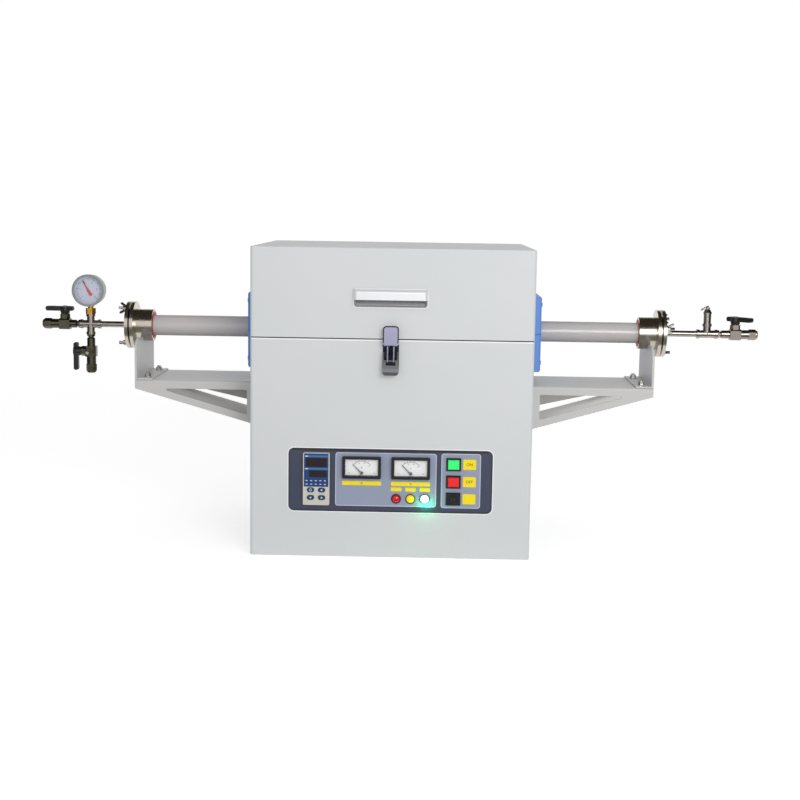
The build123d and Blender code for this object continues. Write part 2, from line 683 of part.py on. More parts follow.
def latch_lever():
    """Pull lever: two cheeks on the fixed pivot, a front plate open in its middle and a flared lip."""
    hold = FRONT_Y - LATCH_PIVOT_OUT
    pivot = LATCH_PIVOT_Z
    out = FRONT_Y - CLAW_PIVOT_OUT
    pin = CLAW_PIVOT_Z
    half = LATCH_WIDTH / 2
    x0, x1 = LATCH_X - half - 0.5, LATCH_X + half + 0.5
    lever = block(x0, x1, out - 3.5, out - 2, pin - 17, pin - 8)
    lever += plate_x([(out - 3.5, pin - 14), (out - 2, pin - 14), (out - 3.2, pin - 19),
                      (out - 4.2, pin - 24.5), (out - 8.2, pin - 25.5), (out - 5.4, pin - 20)], x0, x1)
    lever &= rounded_plate_y(2 * half + 1, 60, 6, LATCH_X, pin + 4.5, out - 10, out)
    for s in (-1, 1):
        x = LATCH_X + s * (half - 1.4)
        cheek = plate_x([(out - 2, pin - 16), (out + 2, pin - 12), (out + 2.5, pin - 3),
                         (hold + 3, pivot - 3),
                         (hold + 2.5, pivot + 3), (hold - 2.5, pivot + 3), (out - 2.5, pin + 4),
                         (out - 2.5, pin - 12)], x - 0.75, x + 0.75)
        strip0, strip1 = sorted((LATCH_X + s * (half - 5.2), LATCH_X + s * (half - 0.65)))
        lever += cheek + block(strip0, strip1, out - 3.5, out - 2, pin - 8, pin - 1)
    lever += bar_x(LATCH_PIN_RADIUS, LATCH_X - half + 0.8, LATCH_X + half - 0.8, out, pin)
    return lever - bar_x(LATCH_PIN_RADIUS + 0.05, LATCH_X - 20, LATCH_X + 20, hold, pivot)


def latch_claw():
    """Claw: two arms on the lever's pin that carry the domed cap and its hook."""
    out = FRONT_Y - CLAW_PIVOT_OUT
    pin = CLAW_PIVOT_Z
    half = LATCH_WIDTH / 2
    claw = None
    for s in (-1, 1):
        x = LATCH_X + s * 5.6
        arm = plate_x([(out + 2, pin - 2.5), (out + 2.2, pin + 4), (out + 0.6, pin + 7),
                       (out + 0.6, pin + 30), (out - 2.2, pin + 30), (out - 2.2, pin - 2.5)], x - 1, x + 1)
        claw = arm if claw is None else claw + arm
    cap_z = pin + 26 + CLAW_CAP_HEIGHT / 2
    cap = rounded_plate_y(2 * half, CLAW_CAP_HEIGHT, 6, LATCH_X, cap_z, out - 4.5, out + 0.6)
    cap = chamfer(cap.faces().sort_by(Axis.Y)[0].edges(), 2)
    claw += cap
    claw += block(LATCH_X - half + 5, LATCH_X + half - 5, out + 0.6, FRONT_Y - 2.6,
                  LEDGE_Z + 0.4, LEDGE_Z + 4)
    return claw - bar_x(LATCH_PIN_RADIUS + 0.05, LATCH_X - 20, LATCH_X + 20, out, pin)


def hinge_knuckles(lower):
    """Two knuckles on the lower leaf and one between them on the upper one, as spans along X."""
    pitch = HINGE_WIDTH / 3
    picks = (0, 2) if lower else (1,)
    start, gap = -HINGE_WIDTH / 2, KNUCKLE_GAP / 2
    return [(start + i * pitch + gap, start + (i + 1) * pitch - gap)
            for i in picks]


def hinge_half(lower):
    """One leaf of each rear hinge, with its knuckles."""
    down = -1 if lower else 1
    clear = KNUCKLE_RADIUS + 2
    leaves = []
    for side in (-1, 1):
        x = side * HINGE_X
        z0, z1 = sorted((SPLIT_HEIGHT + down * clear, SPLIT_HEIGHT + down * (clear + LEAF_HEIGHT)))
        leaf = block(x - HINGE_WIDTH / 2, x + HINGE_WIDTH / 2, BACK_Y, BACK_Y + LEAF_SHEET, z0, z1)
        for a, b in hinge_knuckles(lower):
            t0, t1 = sorted((SPLIT_HEIGHT, SPLIT_HEIGHT + down * clear))
            tongue = block(x + a, x + b, BACK_Y + SEAT_GAP, BACK_Y + LEAF_SHEET, t0, t1)
            leaf += tongue + bar_x(KNUCKLE_RADIUS, x + a, x + b, HINGE_Y, SPLIT_HEIGHT)
        leaf -= bar_x(HINGE_PIN_RADIUS + 0.05, x - HINGE_WIDTH, x + HINGE_WIDTH, HINGE_Y, SPLIT_HEIGHT)
        leaves.append(leaf)
    return leaves


def hinge_pins():
    return [bar_x(HINGE_PIN_RADIUS, s * HINGE_X - HINGE_WIDTH / 2 - 1, s * HINGE_X + HINGE_WIDTH / 2 + 1,
                  HINGE_Y, SPLIT_HEIGHT) for s in (-1, 1)]


# ---------------------------------------------------------------- side covers

def side_cover(side, above):
    """Half of the pressed cover over a tube passage, with chamfered rims and two screws."""
    x0, x1 = sorted((side * SIDE_X, side * (SIDE_X + COVER_PROUD)))
    z0 = LID_BOTTOM if above else LOWER_TOP - COVER_HALF_HEIGHT
    z1 = z0 + COVER_HALF_HEIGHT
    cover = block(x0, x1, -COVER_HALF_DEPTH, COVER_HALF_DEPTH, z0, z1)
    far_x = side * (SIDE_X + COVER_PROUD)
    outer = cover.faces().sort_by(Axis.X)[-1 if side > 0 else 0]
    level_edges = outer.edges().filter_by(Axis.Y).sort_by(Axis.Z)
    rim = outer.edges().filter_by(Axis.Z) + [level_edges[-1 if above else 0]]
    cover = chamfer(rim, COVER_EDGE)
    t = COVER_SHEET
    inner0, inner1 = sorted((side * SIDE_X, far_x - side * t))
    inset = t + 1
    cavity_z0 = z0 - 1 if above else z0 + inset
    cavity_z1 = z1 - inset if above else z1 + 1
    half = COVER_HALF_DEPTH - inset
    cover -= block(inner0, inner1, -half, half, cavity_z0, cavity_z1)
    return cover - bar_x(TUBE_NOTCH_RADIUS + 3, -SIDE_X - COVER_PROUD - 1, SIDE_X + COVER_PROUD + 1)


def cover_screws(above):
    """Hexagon-head screws on the face of each cover half."""
    screws = []
    z = TUBE_Z + (1 if above else -1) * (COVER_HALF_HEIGHT - 16)
    for side in (-1, 1):
        for y in (-COVER_HALF_DEPTH + 16, COVER_HALF_DEPTH - 16):
            face = Pos(0, y, z - TUBE_Z) * outward(side, SIDE_X + COVER_PROUD)
            screws.append(face * hexagon(SCREW_HEAD, 2.2))
    return screws


# ---------------------------------------------------------------- brackets and supports

def slope_at(distance):
    """Height of the bracket's lower edge at a distance from the cabinet's side."""
    drop = BRACKET_ROOT_HEIGHT - (BRACKET_ROOT_HEIGHT - BRACKET_END_HEIGHT) * distance / BRACKET_REACH
    return BRACKET_TOP_Z - drop


def bracket(side):
    """Folded bracket: top plate, sloped underside, front gusset with a window, slotted rear flange."""
    def at(distance, z):
        return (side * (SIDE_X + distance), z)

    t = BRACKET_SHEET
    half = BRACKET_DEPTH / 2
    reach, top, end = BRACKET_REACH, BRACKET_TOP_Z, slope_at(BRACKET_REACH)
    body = plate_y([at(0, top), at(reach, top), at(reach, end), at(0, slope_at(0))], -half, half)
    bend = body.edges().filter_by(Axis.X).sort_by(lambda edge: edge.center().Y - edge.center().Z)[0]
    body = fillet(bend, BRACKET_BEND)
    body -= plate_y([at(t, top - t), at(reach - t, top - t), at(reach - t, end + t), at(t, slope_at(t) + t)],
                    -half + t, half - t)
    tip = reach - WINDOW_TIP
    head = top - WINDOW_TOP_STRIP
    foot = slope_at(WINDOW_ROOT_STRIP) + WINDOW_SLOPE_STRIP
    window = plate_y([at(WINDOW_ROOT_STRIP, head), at(tip, head), at(tip, max(head - 4, slope_at(tip) + 5)),
                      at(WINDOW_ROOT_STRIP, foot)], -half - 1, -half + t)
    body -= fillet(window.edges().filter_by(Axis.Y), 2.0)
    slot_end = reach - WINDOW_TIP / 3
    body -= plate_y([at(t, slope_at(t) + t), at(t, slope_at(t) + t + REAR_SLOT),
                     at(slot_end, slope_at(slot_end) + t + 2), at(slot_end, slope_at(slot_end) + t)],
                    half - t, half)
    return body


def bolt_head(size):
    """Hexagon bolt head, with the end of its bolt standing through the nut as a smaller hexagon."""
    return hexagon(size, size * 0.6) + Pos(0, 0, size * 0.6) * hexagon(size * 0.6, size * 0.3)


def saddle(side):
    """L-shaped tube support: a bolted foot and an upright plate notched for the flange barrel."""
    half = BRACKET_DEPTH / 2
    x0, x1 = sorted((side * (SADDLE_X - SADDLE_SHEET / 2), side * (SADDLE_X + SADDLE_SHEET / 2)))
    top = TUBE_Z - SADDLE_TOP_DROP
    upright = block(x0, x1, -half, half, BRACKET_TOP_Z, top)
    upright = fillet(upright.edges().filter_by(Axis.X).group_by(Axis.Z)[-1], SADDLE_SHOULDER)
    upright -= bar_x(BARREL_RADIUS + 0.1, x0, x1)
    inner_face = SADDLE_X - SADDLE_SHEET / 2
    f0, f1 = sorted((side * inner_face, side * (inner_face + SADDLE_SHEET - SADDLE_FOOT)))
    foot = block(f0, f1, -half, half, BRACKET_TOP_Z, BRACKET_TOP_Z + SADDLE_SHEET - 1)
    return upright + foot


def fasteners():
    """Bolts that hold the tube supports, the brackets and the rear panel."""
    heads = []
    foot_top = BRACKET_TOP_Z + SADDLE_SHEET - 1
    for side in (-1, 1):
        bolt_x = SADDLE_X - SADDLE_FOOT / 2 - 1
        for y in (-SADDLE_BOLT_Y, SADDLE_BOLT_Y):
            heads.append(Pos(side * bolt_x, y, foot_top) * bolt_head(FOOT_BOLT))
            for z in (BRACKET_TOP_Z - 25, BRACKET_TOP_Z - BRACKET_ROOT_HEIGHT + 22):
                root = Pos(0, y, z - TUBE_Z) * outward(side, SIDE_X + BRACKET_SHEET)
                heads.append(root * bolt_head(BRACKET_BOLT))
    for x in (-REAR_PANEL_WIDTH / 2 + 6, REAR_PANEL_WIDTH / 2 - 6):
        for z in (REAR_PANEL_BOTTOM + 6, REAR_PANEL_TOP - 6):
            heads.append(Pos(x, BACK_Y + TRAY_SHEET, z) * Rot(-90, 0, 0) * hexagon(SCREW_HEAD, 2.2))
    return heads


# ---------------------------------------------------------------- vacuum flanges

def flange_body(side):
    """Flange barrel and inner disc, turned from one bar, bored for the tube and its seal."""
    barrel = DISC_START - BARREL_START
    end = barrel + DISC_THICKNESS
    bore = TUBE_RADIUS + 0.2
    profile = [(SEAL_BORE_RADIUS, 0), (BARREL_RADIUS, 0), (BARREL_RADIUS, barrel), (DISC_RADIUS, barrel),
               (DISC_RADIUS, end), (bore, end), (bore, SEAL_DEPTH), (SEAL_BORE_RADIUS, SEAL_DEPTH)]
    return outward(side, BARREL_START) * turned(profile)


def flange_cap(side):
    """Blank end disc with a bore for the gas pipe."""
    disc = Cylinder(DISC_RADIUS, DISC_THICKNESS) - Cylinder(PIPE_RADIUS, DISC_THICKNESS)
    return outward(side, CAP_START + DISC_THICKNESS / 2) * disc


def flange_seals(side):
    """Silicone rings: one round the tube at the barrel's mouth, one between the discs."""
    inner, outer = TUBE_RADIUS + 0.05, SEAL_BORE_RADIUS - 0.05
    mouth = turned([(inner, 0.2), (outer, 0.2), (outer, SEAL_DEPTH - 0.2), (inner, SEAL_DEPTH - 0.2)])
    face = turned([(28, 0), (DISC_RADIUS - 14, 0), (DISC_RADIUS - 14, DISC_GAP), (28, DISC_GAP)])
    return [outward(side, BARREL_START) * mouth, outward(side, DISC_START + DISC_THICKNESS) * face]


def wing_nut():
    """Wing nut on its stud: a ten-sided hub and two leaning wings."""
    nut = extrude(RegularPolygon(WING_HUB_RADIUS, 10), 6)
    nut += extrude(RegularPolygon(STUD_RADIUS, 8), STUD_LENGTH)
    for s in (-1, 1):
        wing = make_face(Polyline((s * 3.5, 0, 1), (s * 6.5, 0, 1.5), (s * 12.5, 0, 9), (s * 11.5, 0, 12.5),
                                  (s * 8.5, 0, 12), (s * 4.0, 0, 5.5), close=True))
        nut += Pos(0, 1.1, 0) * extrude(wing, amount=2.2, dir=(0, -1, 0))
    return nut


def wing_nuts(side):
    """Three wing nuts on the cap; angles run from the front (-Y) over the top (+Z)."""
    nuts = []
    for i, angle in enumerate(LEFT_STUDS if side < 0 else RIGHT_STUDS):
        y = -STUD_CIRCLE * cos(radians(angle))
        z = STUD_CIRCLE * sin(radians(angle))
        nuts.append(Pos(0, y, z) * outward(side, CAP_END) * Rot(0, 0, 35 + 50 * i) * wing_nut())
    return nuts


# ---------------------------------------------------------------- gas lines

def fitting_arm(length):
    """One arm of a threaded pipe fitting, with its beaded end, along +Z."""
    bead = length - COLLAR_LENGTH
    return turned([(0, 0), (ARM_RADIUS, 0), (ARM_RADIUS, bead), (COLLAR_RADIUS, bead),
                   (COLLAR_RADIUS, length), (0, length)])


def pipe_fitting(side, x, arm, angles):
    """A cross or tee on the tube's axis, and the pipe that runs to it from the flange cap."""
    body = fitting_arm(arm)
    for angle in angles:
        body += Rot(0, angle, 0) * fitting_arm(arm)
    body = Pos(side * x, 0, TUBE_Z) * body
    x0, x1 = sorted((side * (CAP_START + PIPE_SINK), side * (x - arm)))
    return body + bar_x(PIPE_RADIUS - PIPE_FIT, x0, x1)


def left_cross():
    return pipe_fitting(-1, CROSS_X, CROSS_ARM, (90, 180, 270))


def right_tee():
    return pipe_fitting(1, TEE_X, TEE_ARM, (90, 270))


def ball_valve(entry, centre, end):
    """Ball valve along +Z: entry hexagon, round body, square block, outlet and compression nut."""
    nut0 = end - NUT_LENGTH
    neck = VALVE_BODY_RADIUS - 2.4
    body = turned([(0, entry), (neck, entry), (neck, entry + 6), (VALVE_BODY_RADIUS, entry + 7.5),
                   (VALVE_BODY_RADIUS, nut0 - 2), (neck, nut0), (0, nut0)])
    body += Pos(0, 0, entry) * hexagon(VALVE_ENTRY_FLATS, 4)
    nut = hexagon(NUT_FLATS, NUT_LENGTH - 4) + Cylinder(NUT_FLATS / 2, 2 * NUT_LENGTH - 4)
    body += Pos(0, 0, nut0) * nut
    body += Pos(0, 0, end - 2) * turned([(0, 0), (NUT_FLATS / 2, 0), (NUT_FLATS / 2 - 2, 2), (0, 2)])
    body -= Pos(0, 0, end) * Cylinder(HOSE_BORE, 2 * HOSE_BORE_DEPTH)
    cube = Pos(0, 0, centre) * Box(VALVE_BLOCK_HEIGHT, VALVE_BLOCK_HEIGHT, VALVE_BLOCK)
    cube = chamfer(cube.edges().filter_by(Axis.Z), 3)
    bonnet = hexagon(BONNET_FLATS, LEVER_RISE - 6)
    stem = Pos(0, 0, LEVER_RISE / 2 - 0.5) * Cylinder(STEM_RADIUS, LEVER_RISE - 1)
    return body + cube + Pos(0, 0, centre) * Rot(0, -90, 0) * (bonnet + stem)


def valve_lever():
    """Nylon lever round the stem at the origin: stem along +Z, long arm along +X."""
    top = LEVER_RISE + LEVER_THICKNESS
    skirt = LEVER_RISE - 5.5
    socket = STEM_RADIUS + STEM_CLEARANCE
    roof = LEVER_RISE - 1 + STEM_CLEARANCE
    hub = turned([(socket, skirt), (LEVER_HUB - 1, skirt), (LEVER_HUB, LEVER_RISE + 1), (LEVER_HUB, top),
                  (0, top), (0, roof), (socket, roof)])
    bar = block(-LEVER_SHORT, LEVER_LONG, -5, 5, LEVER_RISE + 0.5, top)
    bar = fillet(bar.edges().filter_by(Axis.Y), 3.5)
    return hub + bar - Cylinder(socket, 2 * roof)


def left_valve_place():
    """Valve frame on the left line: body +Z points to -X, lever stem points up."""
    return Pos(0, 0, TUBE_Z) * Rot(0, -90, 0)


def left_valve():
    body = ball_valve(CROSS_X + CROSS_ARM, LEFT_VALVE_X, LEFT_END_X)
    return left_valve_place() * Rot(0, 0, 180) * body


def right_valve():
    body = ball_valve(TEE_X + TEE_ARM, RIGHT_VALVE_X, RIGHT_END_X)
    return Pos(0, 0, TUBE_Z) * Rot(0, 90, 0) * body


def drain_valve():
    body = ball_valve(CROSS_ARM, DRAIN_DROP, DRAIN_END_DROP)
    return Pos(-CROSS_X, 0, TUBE_Z) * Rot(180, 0, 0) * body


def left_valve_lever():
    return Pos(-LEFT_VALVE_X, 0, TUBE_Z) * Rot(0, 0, 180) * valve_lever()


def right_valve_lever():
    return Pos(RIGHT_VALVE_X, 0, TUBE_Z) * Rot(0, 0, RIGHT_LEVER_ANGLE) * valve_lever()


def drain_valve_lever():
    return Pos(-CROSS_X, 0, TUBE_Z - DRAIN_DROP) * Rot(0, -90, 0) * Rot(0, 0, 180) * valve_lever()


# ---------------------------------------------------------------- gauge and relief valve

def gauge_adapter():
    """Brass adapter between the cross and the gauge's socket."""
    z0 = TUBE_Z + CROSS_ARM
    top = GAUGE_Z - sqrt(GAUGE_RADIUS ** 2 - 7.0 ** 2)
    neck = bar_z(5.3, z0, top, -CROSS_X) + Pos(-CROSS_X, 0, z0) * hexagon(ADAPTER_HEX, 11)
    return neck + block(-CROSS_X - 7, -CROSS_X + 7, -6, 6, z0 + 14, top)


def gauge_case():
    """Steel gauge case with a rolled bezel, open in front of the dial."""
    r, depth = GAUGE_RADIUS, GAUGE_DEPTH
    sink = DIAL_SINK
    seat = r - GAUGE_BEZEL + 1.5
    profile = [(0, 0), (r - 1.5, 0), (r - 1.5, depth - 8), (r, depth - 7), (r, depth - 1), (r - 1, depth),
               (r - GAUGE_BEZEL, depth), (r - GAUGE_BEZEL, depth - 1), (seat, depth - 1),
               (seat, depth - sink),
               (2.0, depth - sink), (2.0, depth - sink - 4), (0, depth - sink - 4)]
    return Pos(-CROSS_X, GAUGE_FRONT + depth, GAUGE_Z) * Rot(90, 0, 0) * turned(profile)


def gauge_pointer():
    """Pointer at zero on a vacuum and pressure scale, on its spindle."""
    y1 = GAUGE_FRONT + DIAL_SINK - 0.6
    y0 = y1 - 1.2
    x, z = -CROSS_X, GAUGE_Z
    tip = z + POINTER_LENGTH
    tail = z - POINTER_TAIL
    blade = plate_y([(x - 2, tail), (x + 2, tail), (x + 3, tail + 2.5), (x + 1.8, z), (x + 0.5, tip),
                     (x - 0.5, tip), (x - 1.8, z), (x - 3, tail + 2.5)], y0, y1)
    pointer = blade + bar_y(2.6, y0 - 0.8, y1, x, z) + bar_y(1.7, y1, y1 + 4, x, z)
    return pointer.rotate(Axis((x, 0, z), (0, 1, 0)), POINTER_ANGLE)


def relief_valve():
    """Spring relief valve on the tee: round body, collar and a hollow cap."""
    bore = RELIEF_STEM_RADIUS + 0.3
    profile = [(0, TEE_ARM), (RELIEF_RADIUS, TEE_ARM), (RELIEF_RADIUS, RELIEF_TOP - 4),
               (RELIEF_RADIUS + 1, RELIEF_TOP - 4), (RELIEF_RADIUS + 1, RELIEF_TOP - 1.5),
               (4.6, RELIEF_TOP + 5),
               (bore, RELIEF_TOP + 5), (bore, RELIEF_TOP - 12), (0, RELIEF_TOP - 12)]
    return Pos(TEE_X, 0, TUBE_Z) * turned(profile)


def relief_stem():
    """Pull stem of the relief valve with its split ring."""
    z = TUBE_Z + RELIEF_TOP
    stem = bar_z(RELIEF_STEM_RADIUS, z - 11.5, z + 12, TEE_X) + bar_z(4.2, z + 5.4, z + 8.5, TEE_X)
    lean = radians(RING_LEAN)
    ring_centre = Pos(TEE_X - RING_RADIUS * cos(lean), 0, z + 10.5 - RING_RADIUS * sin(lean))
    ring = Cylinder(RING_RADIUS + RING_WIRE, 2 * RING_WIRE) - Cylinder(RING_RADIUS - RING_WIRE, 2 * RING_WIRE)
    return stem + ring_centre * Rot(0, -RING_LEAN, 0) * ring


def group(solids):
    return Compound(children=list(solids))


NODES = {
    "cabinet_shell": cabinet_shell(),
    "back_panel": back_panel(),
    "mains_gland": mains_gland(),
    "deck_plate": deck_ring(LOWER_TOP - LIP_DROP, LOWER_TOP - LIP_DROP + DECK_THICKNESS),
    "lower_insulation": insulation(False) - thermocouple_hole(),
    "lower_heater": group(heater_rods(False, HEATER_RADIUS, CHAMBER_LENGTH / 2 - 5)),
    "lower_tray": insulation_tray(False) - thermocouple_hole(),
    "power_module": power_module(),
    "thermocouple": thermocouple(),
    "quartz_tube": quartz_tube(),
    "control_panel": control_panel(),
    "controller_housing": controller_housing(),
    "controller_display": display_window(0.1, 1.4),
    "meter_cases": group(meter_cases()),
    "dial_windows": group(dial_windows()),
    "panel_bezels": group(panel_bezels()),
    "lamp_lenses": group(lamp_lenses()),
    "latch_base": latch_base(),
    "lower_covers": group([side_cover(-1, False), side_cover(1, False)]),
    "left_bracket": bracket(-1),
    "right_bracket": bracket(1),
    "tube_saddles": group([saddle(-1), saddle(1)]),
    "flange_bodies": group([flange_body(-1), flange_body(1)]),
    "flange_caps": group([flange_cap(-1), flange_cap(1)]),
    "flange_seals": group(flange_seals(-1) + flange_seals(1)),
    "wing_nuts": group(wing_nuts(-1) + wing_nuts(1)),
    "left_cross": left_cross(),
    "gauge_adapter": gauge_adapter(),
    "gauge_case": gauge_case(),
    "left_valve": left_valve(),
    "drain_valve": drain_valve(),
    "right_tee": right_tee(),
    "relief_valve": relief_valve(),
    "right_valve": right_valve(),
    "fasteners": group(fasteners() + cover_screws(False)),
    "hinge_lower": group(hinge_half(True) + hinge_pins()),
    "lid_shell": lid_shell(),
    "lid_deck": group([lid_deck(), insulation_tray(True)]),
    "upper_insulation": insulation(True),
    "upper_heater": group(heater_rods(True, HEATER_RADIUS, CHAMBER_LENGTH / 2 - 5)),
    "upper_covers": group([side_cover(-1, True), side_cover(1, True)] + cover_screws(True)),
    "lid_handle": lid_handle(),
    "latch_keeper": latch_keeper(),
    "hinge_upper": group(hinge_half(False)),
    "latch_lever": latch_lever(),
    "latch_claw": latch_claw(),
    "left_valve_lever": left_valve_lever(),
    "drain_valve_lever": drain_valve_lever(),
    "right_valve_lever": right_valve_lever(),
    "gauge_pointer": gauge_pointer(),
    "ammeter_needle": meter_needle(METER_X[0]),
    "voltmeter_needle": meter_needle(METER_X[1]),
    "start_button": push_button(SWITCH_Z[0]),
    "stop_button": push_button(SWITCH_Z[1]),
    "key_rotor": key_rotor(),
    "relief_stem": relief_stem(),
}
for name, (key_x, key_z) in zip(("set_key", "shift_key", "down_key", "up_key"), key_places()):
    NODES[name] = controller_key(key_x, key_z)

os.makedirs("parts", exist_ok=True)
for name, shape in NODES.items():
    export_step(shape, f"parts/{name}.step")
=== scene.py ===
from math import cos, pi, radians, sin

import bmesh
import bpy
from mathutils import Matrix, Vector


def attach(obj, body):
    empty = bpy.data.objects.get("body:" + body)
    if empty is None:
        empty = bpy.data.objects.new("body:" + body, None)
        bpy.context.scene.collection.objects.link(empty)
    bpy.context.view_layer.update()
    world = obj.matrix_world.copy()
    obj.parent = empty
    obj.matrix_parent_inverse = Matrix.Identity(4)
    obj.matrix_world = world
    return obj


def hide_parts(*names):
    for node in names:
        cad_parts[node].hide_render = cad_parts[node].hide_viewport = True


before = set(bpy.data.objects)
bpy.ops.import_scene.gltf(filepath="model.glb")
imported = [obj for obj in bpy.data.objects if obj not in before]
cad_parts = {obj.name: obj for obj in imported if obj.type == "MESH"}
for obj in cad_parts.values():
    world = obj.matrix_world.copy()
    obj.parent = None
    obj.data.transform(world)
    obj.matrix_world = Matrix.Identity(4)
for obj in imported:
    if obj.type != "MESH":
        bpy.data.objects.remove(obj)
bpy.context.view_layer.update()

bpy.ops.object.select_all(action="DESELECT")


# ---------------------------------------------------------------- cabinet and lid shells
# Folded and welded steel sheet, powder coated in a light warm grey with a fine
# orange-peel skin. The rear panel is screwed on and has the same coat.
MM = 0.001
first_in, second_in, mixed_out = 6, 7, 2  # a Mix node's colour sockets


def tint(red, green, blue):
    """A paint chart's colour, as linear values with full cover."""
    chart = [value / 255 for value in (red, green, blue)]
    return [c / 12.92 if c <= 0.04045 else ((c + 0.055) / 1.055) ** 2.4 for c in chart] + [1.0]


def effect(name, inputs, outputs):
    """An empty node group with its inputs and outputs, and the nodes that stand for them."""
    group = bpy.data.node_groups.new(name, "ShaderNodeTree")
    for label, kind in inputs:
        group.interface.new_socket(name=label, in_out="INPUT", socket_type="NodeSocket" + kind)
    for label, kind in outputs:
        group.interface.new_socket(name=label, in_out="OUTPUT", socket_type="NodeSocket" + kind)
    return group, group.nodes.new("NodeGroupInput"), group.nodes.new("NodeGroupOutput")


def skin_effect():
    """Sprayed or moulded skin: a fine, shallow bump all over."""
    group, entry, leave = effect("skin", [("Scale", "Float"), ("Depth", "Float")], [("Normal", "Vector")])
    place = group.nodes.new("ShaderNodeTexCoord")
    noise = group.nodes.new("ShaderNodeTexNoise")
    noise.inputs["Detail"].default_value = 3.0
    bump = group.nodes.new("ShaderNodeBump")
    bump.inputs["Distance"].default_value = 0.001
    group.links.new(place.outputs["Object"], noise.inputs["Vector"])
    group.links.new(entry.outputs["Scale"], noise.inputs["Scale"])
    group.links.new(entry.outputs["Depth"], bump.inputs["Strength"])
    group.links.new(noise.outputs["Fac"], bump.inputs["Height"])
    group.links.new(bump.outputs["Normal"], leave.inputs["Normal"])
    return group


def drift_effect():
    """Two close colours that drift into each other, and a roughness that drifts with them."""
    group, entry, leave = effect(
        "drift",
        [("Colour", "Color"), ("Other", "Color"), ("Scale", "Float"), ("Low", "Float"), ("High", "Float")],
        [("Colour", "Color"), ("Roughness", "Float")])
    place = group.nodes.new("ShaderNodeTexCoord")
    noise = group.nodes.new("ShaderNodeTexNoise")
    noise.inputs["Detail"].default_value = 4.0
    blend = group.nodes.new("ShaderNodeMix")
    blend.data_type = "RGBA"
    span = group.nodes.new("ShaderNodeMapRange")
    span.inputs["From Min"].default_value = 0.3
    span.inputs["From Max"].default_value = 0.7
    group.links.new(place.outputs["Object"], noise.inputs["Vector"])
    group.links.new(entry.outputs["Scale"], noise.inputs["Scale"])
    group.links.new(noise.outputs["Fac"], span.inputs["Value"])
    group.links.new(entry.outputs["Low"], span.inputs["To Min"])
    group.links.new(entry.outputs["High"], span.inputs["To Max"])
    group.links.new(noise.outputs["Fac"], blend.inputs["Factor"])
    group.links.new(entry.outputs["Colour"], blend.inputs[first_in])
    group.links.new(entry.outputs["Other"], blend.inputs[second_in])
    group.links.new(blend.outputs[mixed_out], leave.inputs["Colour"])
    group.links.new(span.outputs["Result"], leave.inputs["Roughness"])
    return group


skin = skin_effect()
drift = drift_effect()


def finish(name, colour, rough, metal=0.0, peel=None, second=None):
    """A material of one colour. Peel is (scale, depth), second is (colour, scale, rough span)."""
    material = bpy.data.materials.new(name)
    material.use_nodes = True
    nodes, links = material.node_tree.nodes, material.node_tree.links
    shader = nodes["Principled BSDF"]
    shader.inputs["Base Color"].default_value = colour
    shader.inputs["Roughness"].default_value = rough
    shader.inputs["Metallic"].default_value = metal
    if peel:
        bumps = nodes.new("ShaderNodeGroup")
        bumps.node_tree = skin
        bumps.inputs["Scale"].default_value = peel[0]
        bumps.inputs["Depth"].default_value = peel[1]
        links.new(bumps.outputs["Normal"], shader.inputs["Normal"])
    if second:
        drifting = nodes.new("ShaderNodeGroup")
        drifting.node_tree = drift
        drifting.inputs["Colour"].default_value = colour
        drifting.inputs["Other"].default_value = second[0]
        drifting.inputs["Scale"].default_value = second[1]
        drifting.inputs["Low"].default_value = rough
        drifting.inputs["High"].default_value = rough + second[2]
        links.new(drifting.outputs["Colour"], shader.inputs["Base Color"])
        links.new(drifting.outputs["Roughness"], shader.inputs["Roughness"])
    return material


def coat(material, *names):
    """Gives CAD nodes a finish and leaves their meshes alone."""
    for name in names:
        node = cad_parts[name]
        node.data.materials.clear()
        node.data.materials.append(material)


cabinet_coat = finish("cabinet_coat", tint(217, 219, 220), 0.42, peel=(900, 0.12),
                      second=(tint(212, 215, 216), 6, 0.05))
coat(cabinet_coat, "cabinet_shell", "back_panel", "lid_shell")


# ---------------------------------------------------------------- panel cut-out
# The narrow bright bead round the control panel's opening stands just proud of the front: a
# painted highlight on the sheet's edge. A dark strip inside it, wider along the top, is painted shade.
front, panel_face = -212.0, -210.0
opening_x, opening_z, opening_round = (-185.0, 185.0), (84.0, 200.0), 10.0
bead_width, shade_width, shade_play, shade_sag = 1.8, 1.5, 0.1, 3.0


def about(middle, reach):
    """The two stations that lie the same reach to both sides of a middle."""
    return middle - reach, middle + reach


def wider(stations, extra):
    """Two stations moved apart, or closer for a negative extra."""
    return stations[0] - extra, stations[1] + extra


def choose(piece, kind, test):
    """Goes into edit mode with only the faces or edges that pass the test selected."""
    bpy.context.view_layer.objects.active = piece
    bpy.ops.object.mode_set(mode="EDIT")
    bpy.ops.mesh.select_mode(type=kind)
    bpy.ops.mesh.select_all(action="DESELECT")
    shape = bmesh.from_edit_mesh(piece.data)
    for part in shape.faces if kind == "FACE" else shape.edges:
        part.select_set(test(part))
    bmesh.update_edit_mesh(piece.data)


def shift(piece, kind, test, move):
    """Moves the faces or edges that pass the test, in millimetres."""
    choose(piece, kind, test)
    bpy.ops.transform.translate(value=[MM * step for step in move])
    bpy.ops.object.mode_set(mode="OBJECT")


def bevel(piece, test, size, steps):
    """Bevels the edges that pass the test."""
    choose(piece, "EDGE", test)
    bpy.ops.mesh.bevel(offset=MM * size, segments=steps, affect="EDGES")
    bpy.ops.object.mode_set(mode="OBJECT")


def settle():
    """Works the selected pieces' places, turns and scales into their meshes."""
    bpy.ops.object.transform_apply(location=True, rotation=True, scale=True)


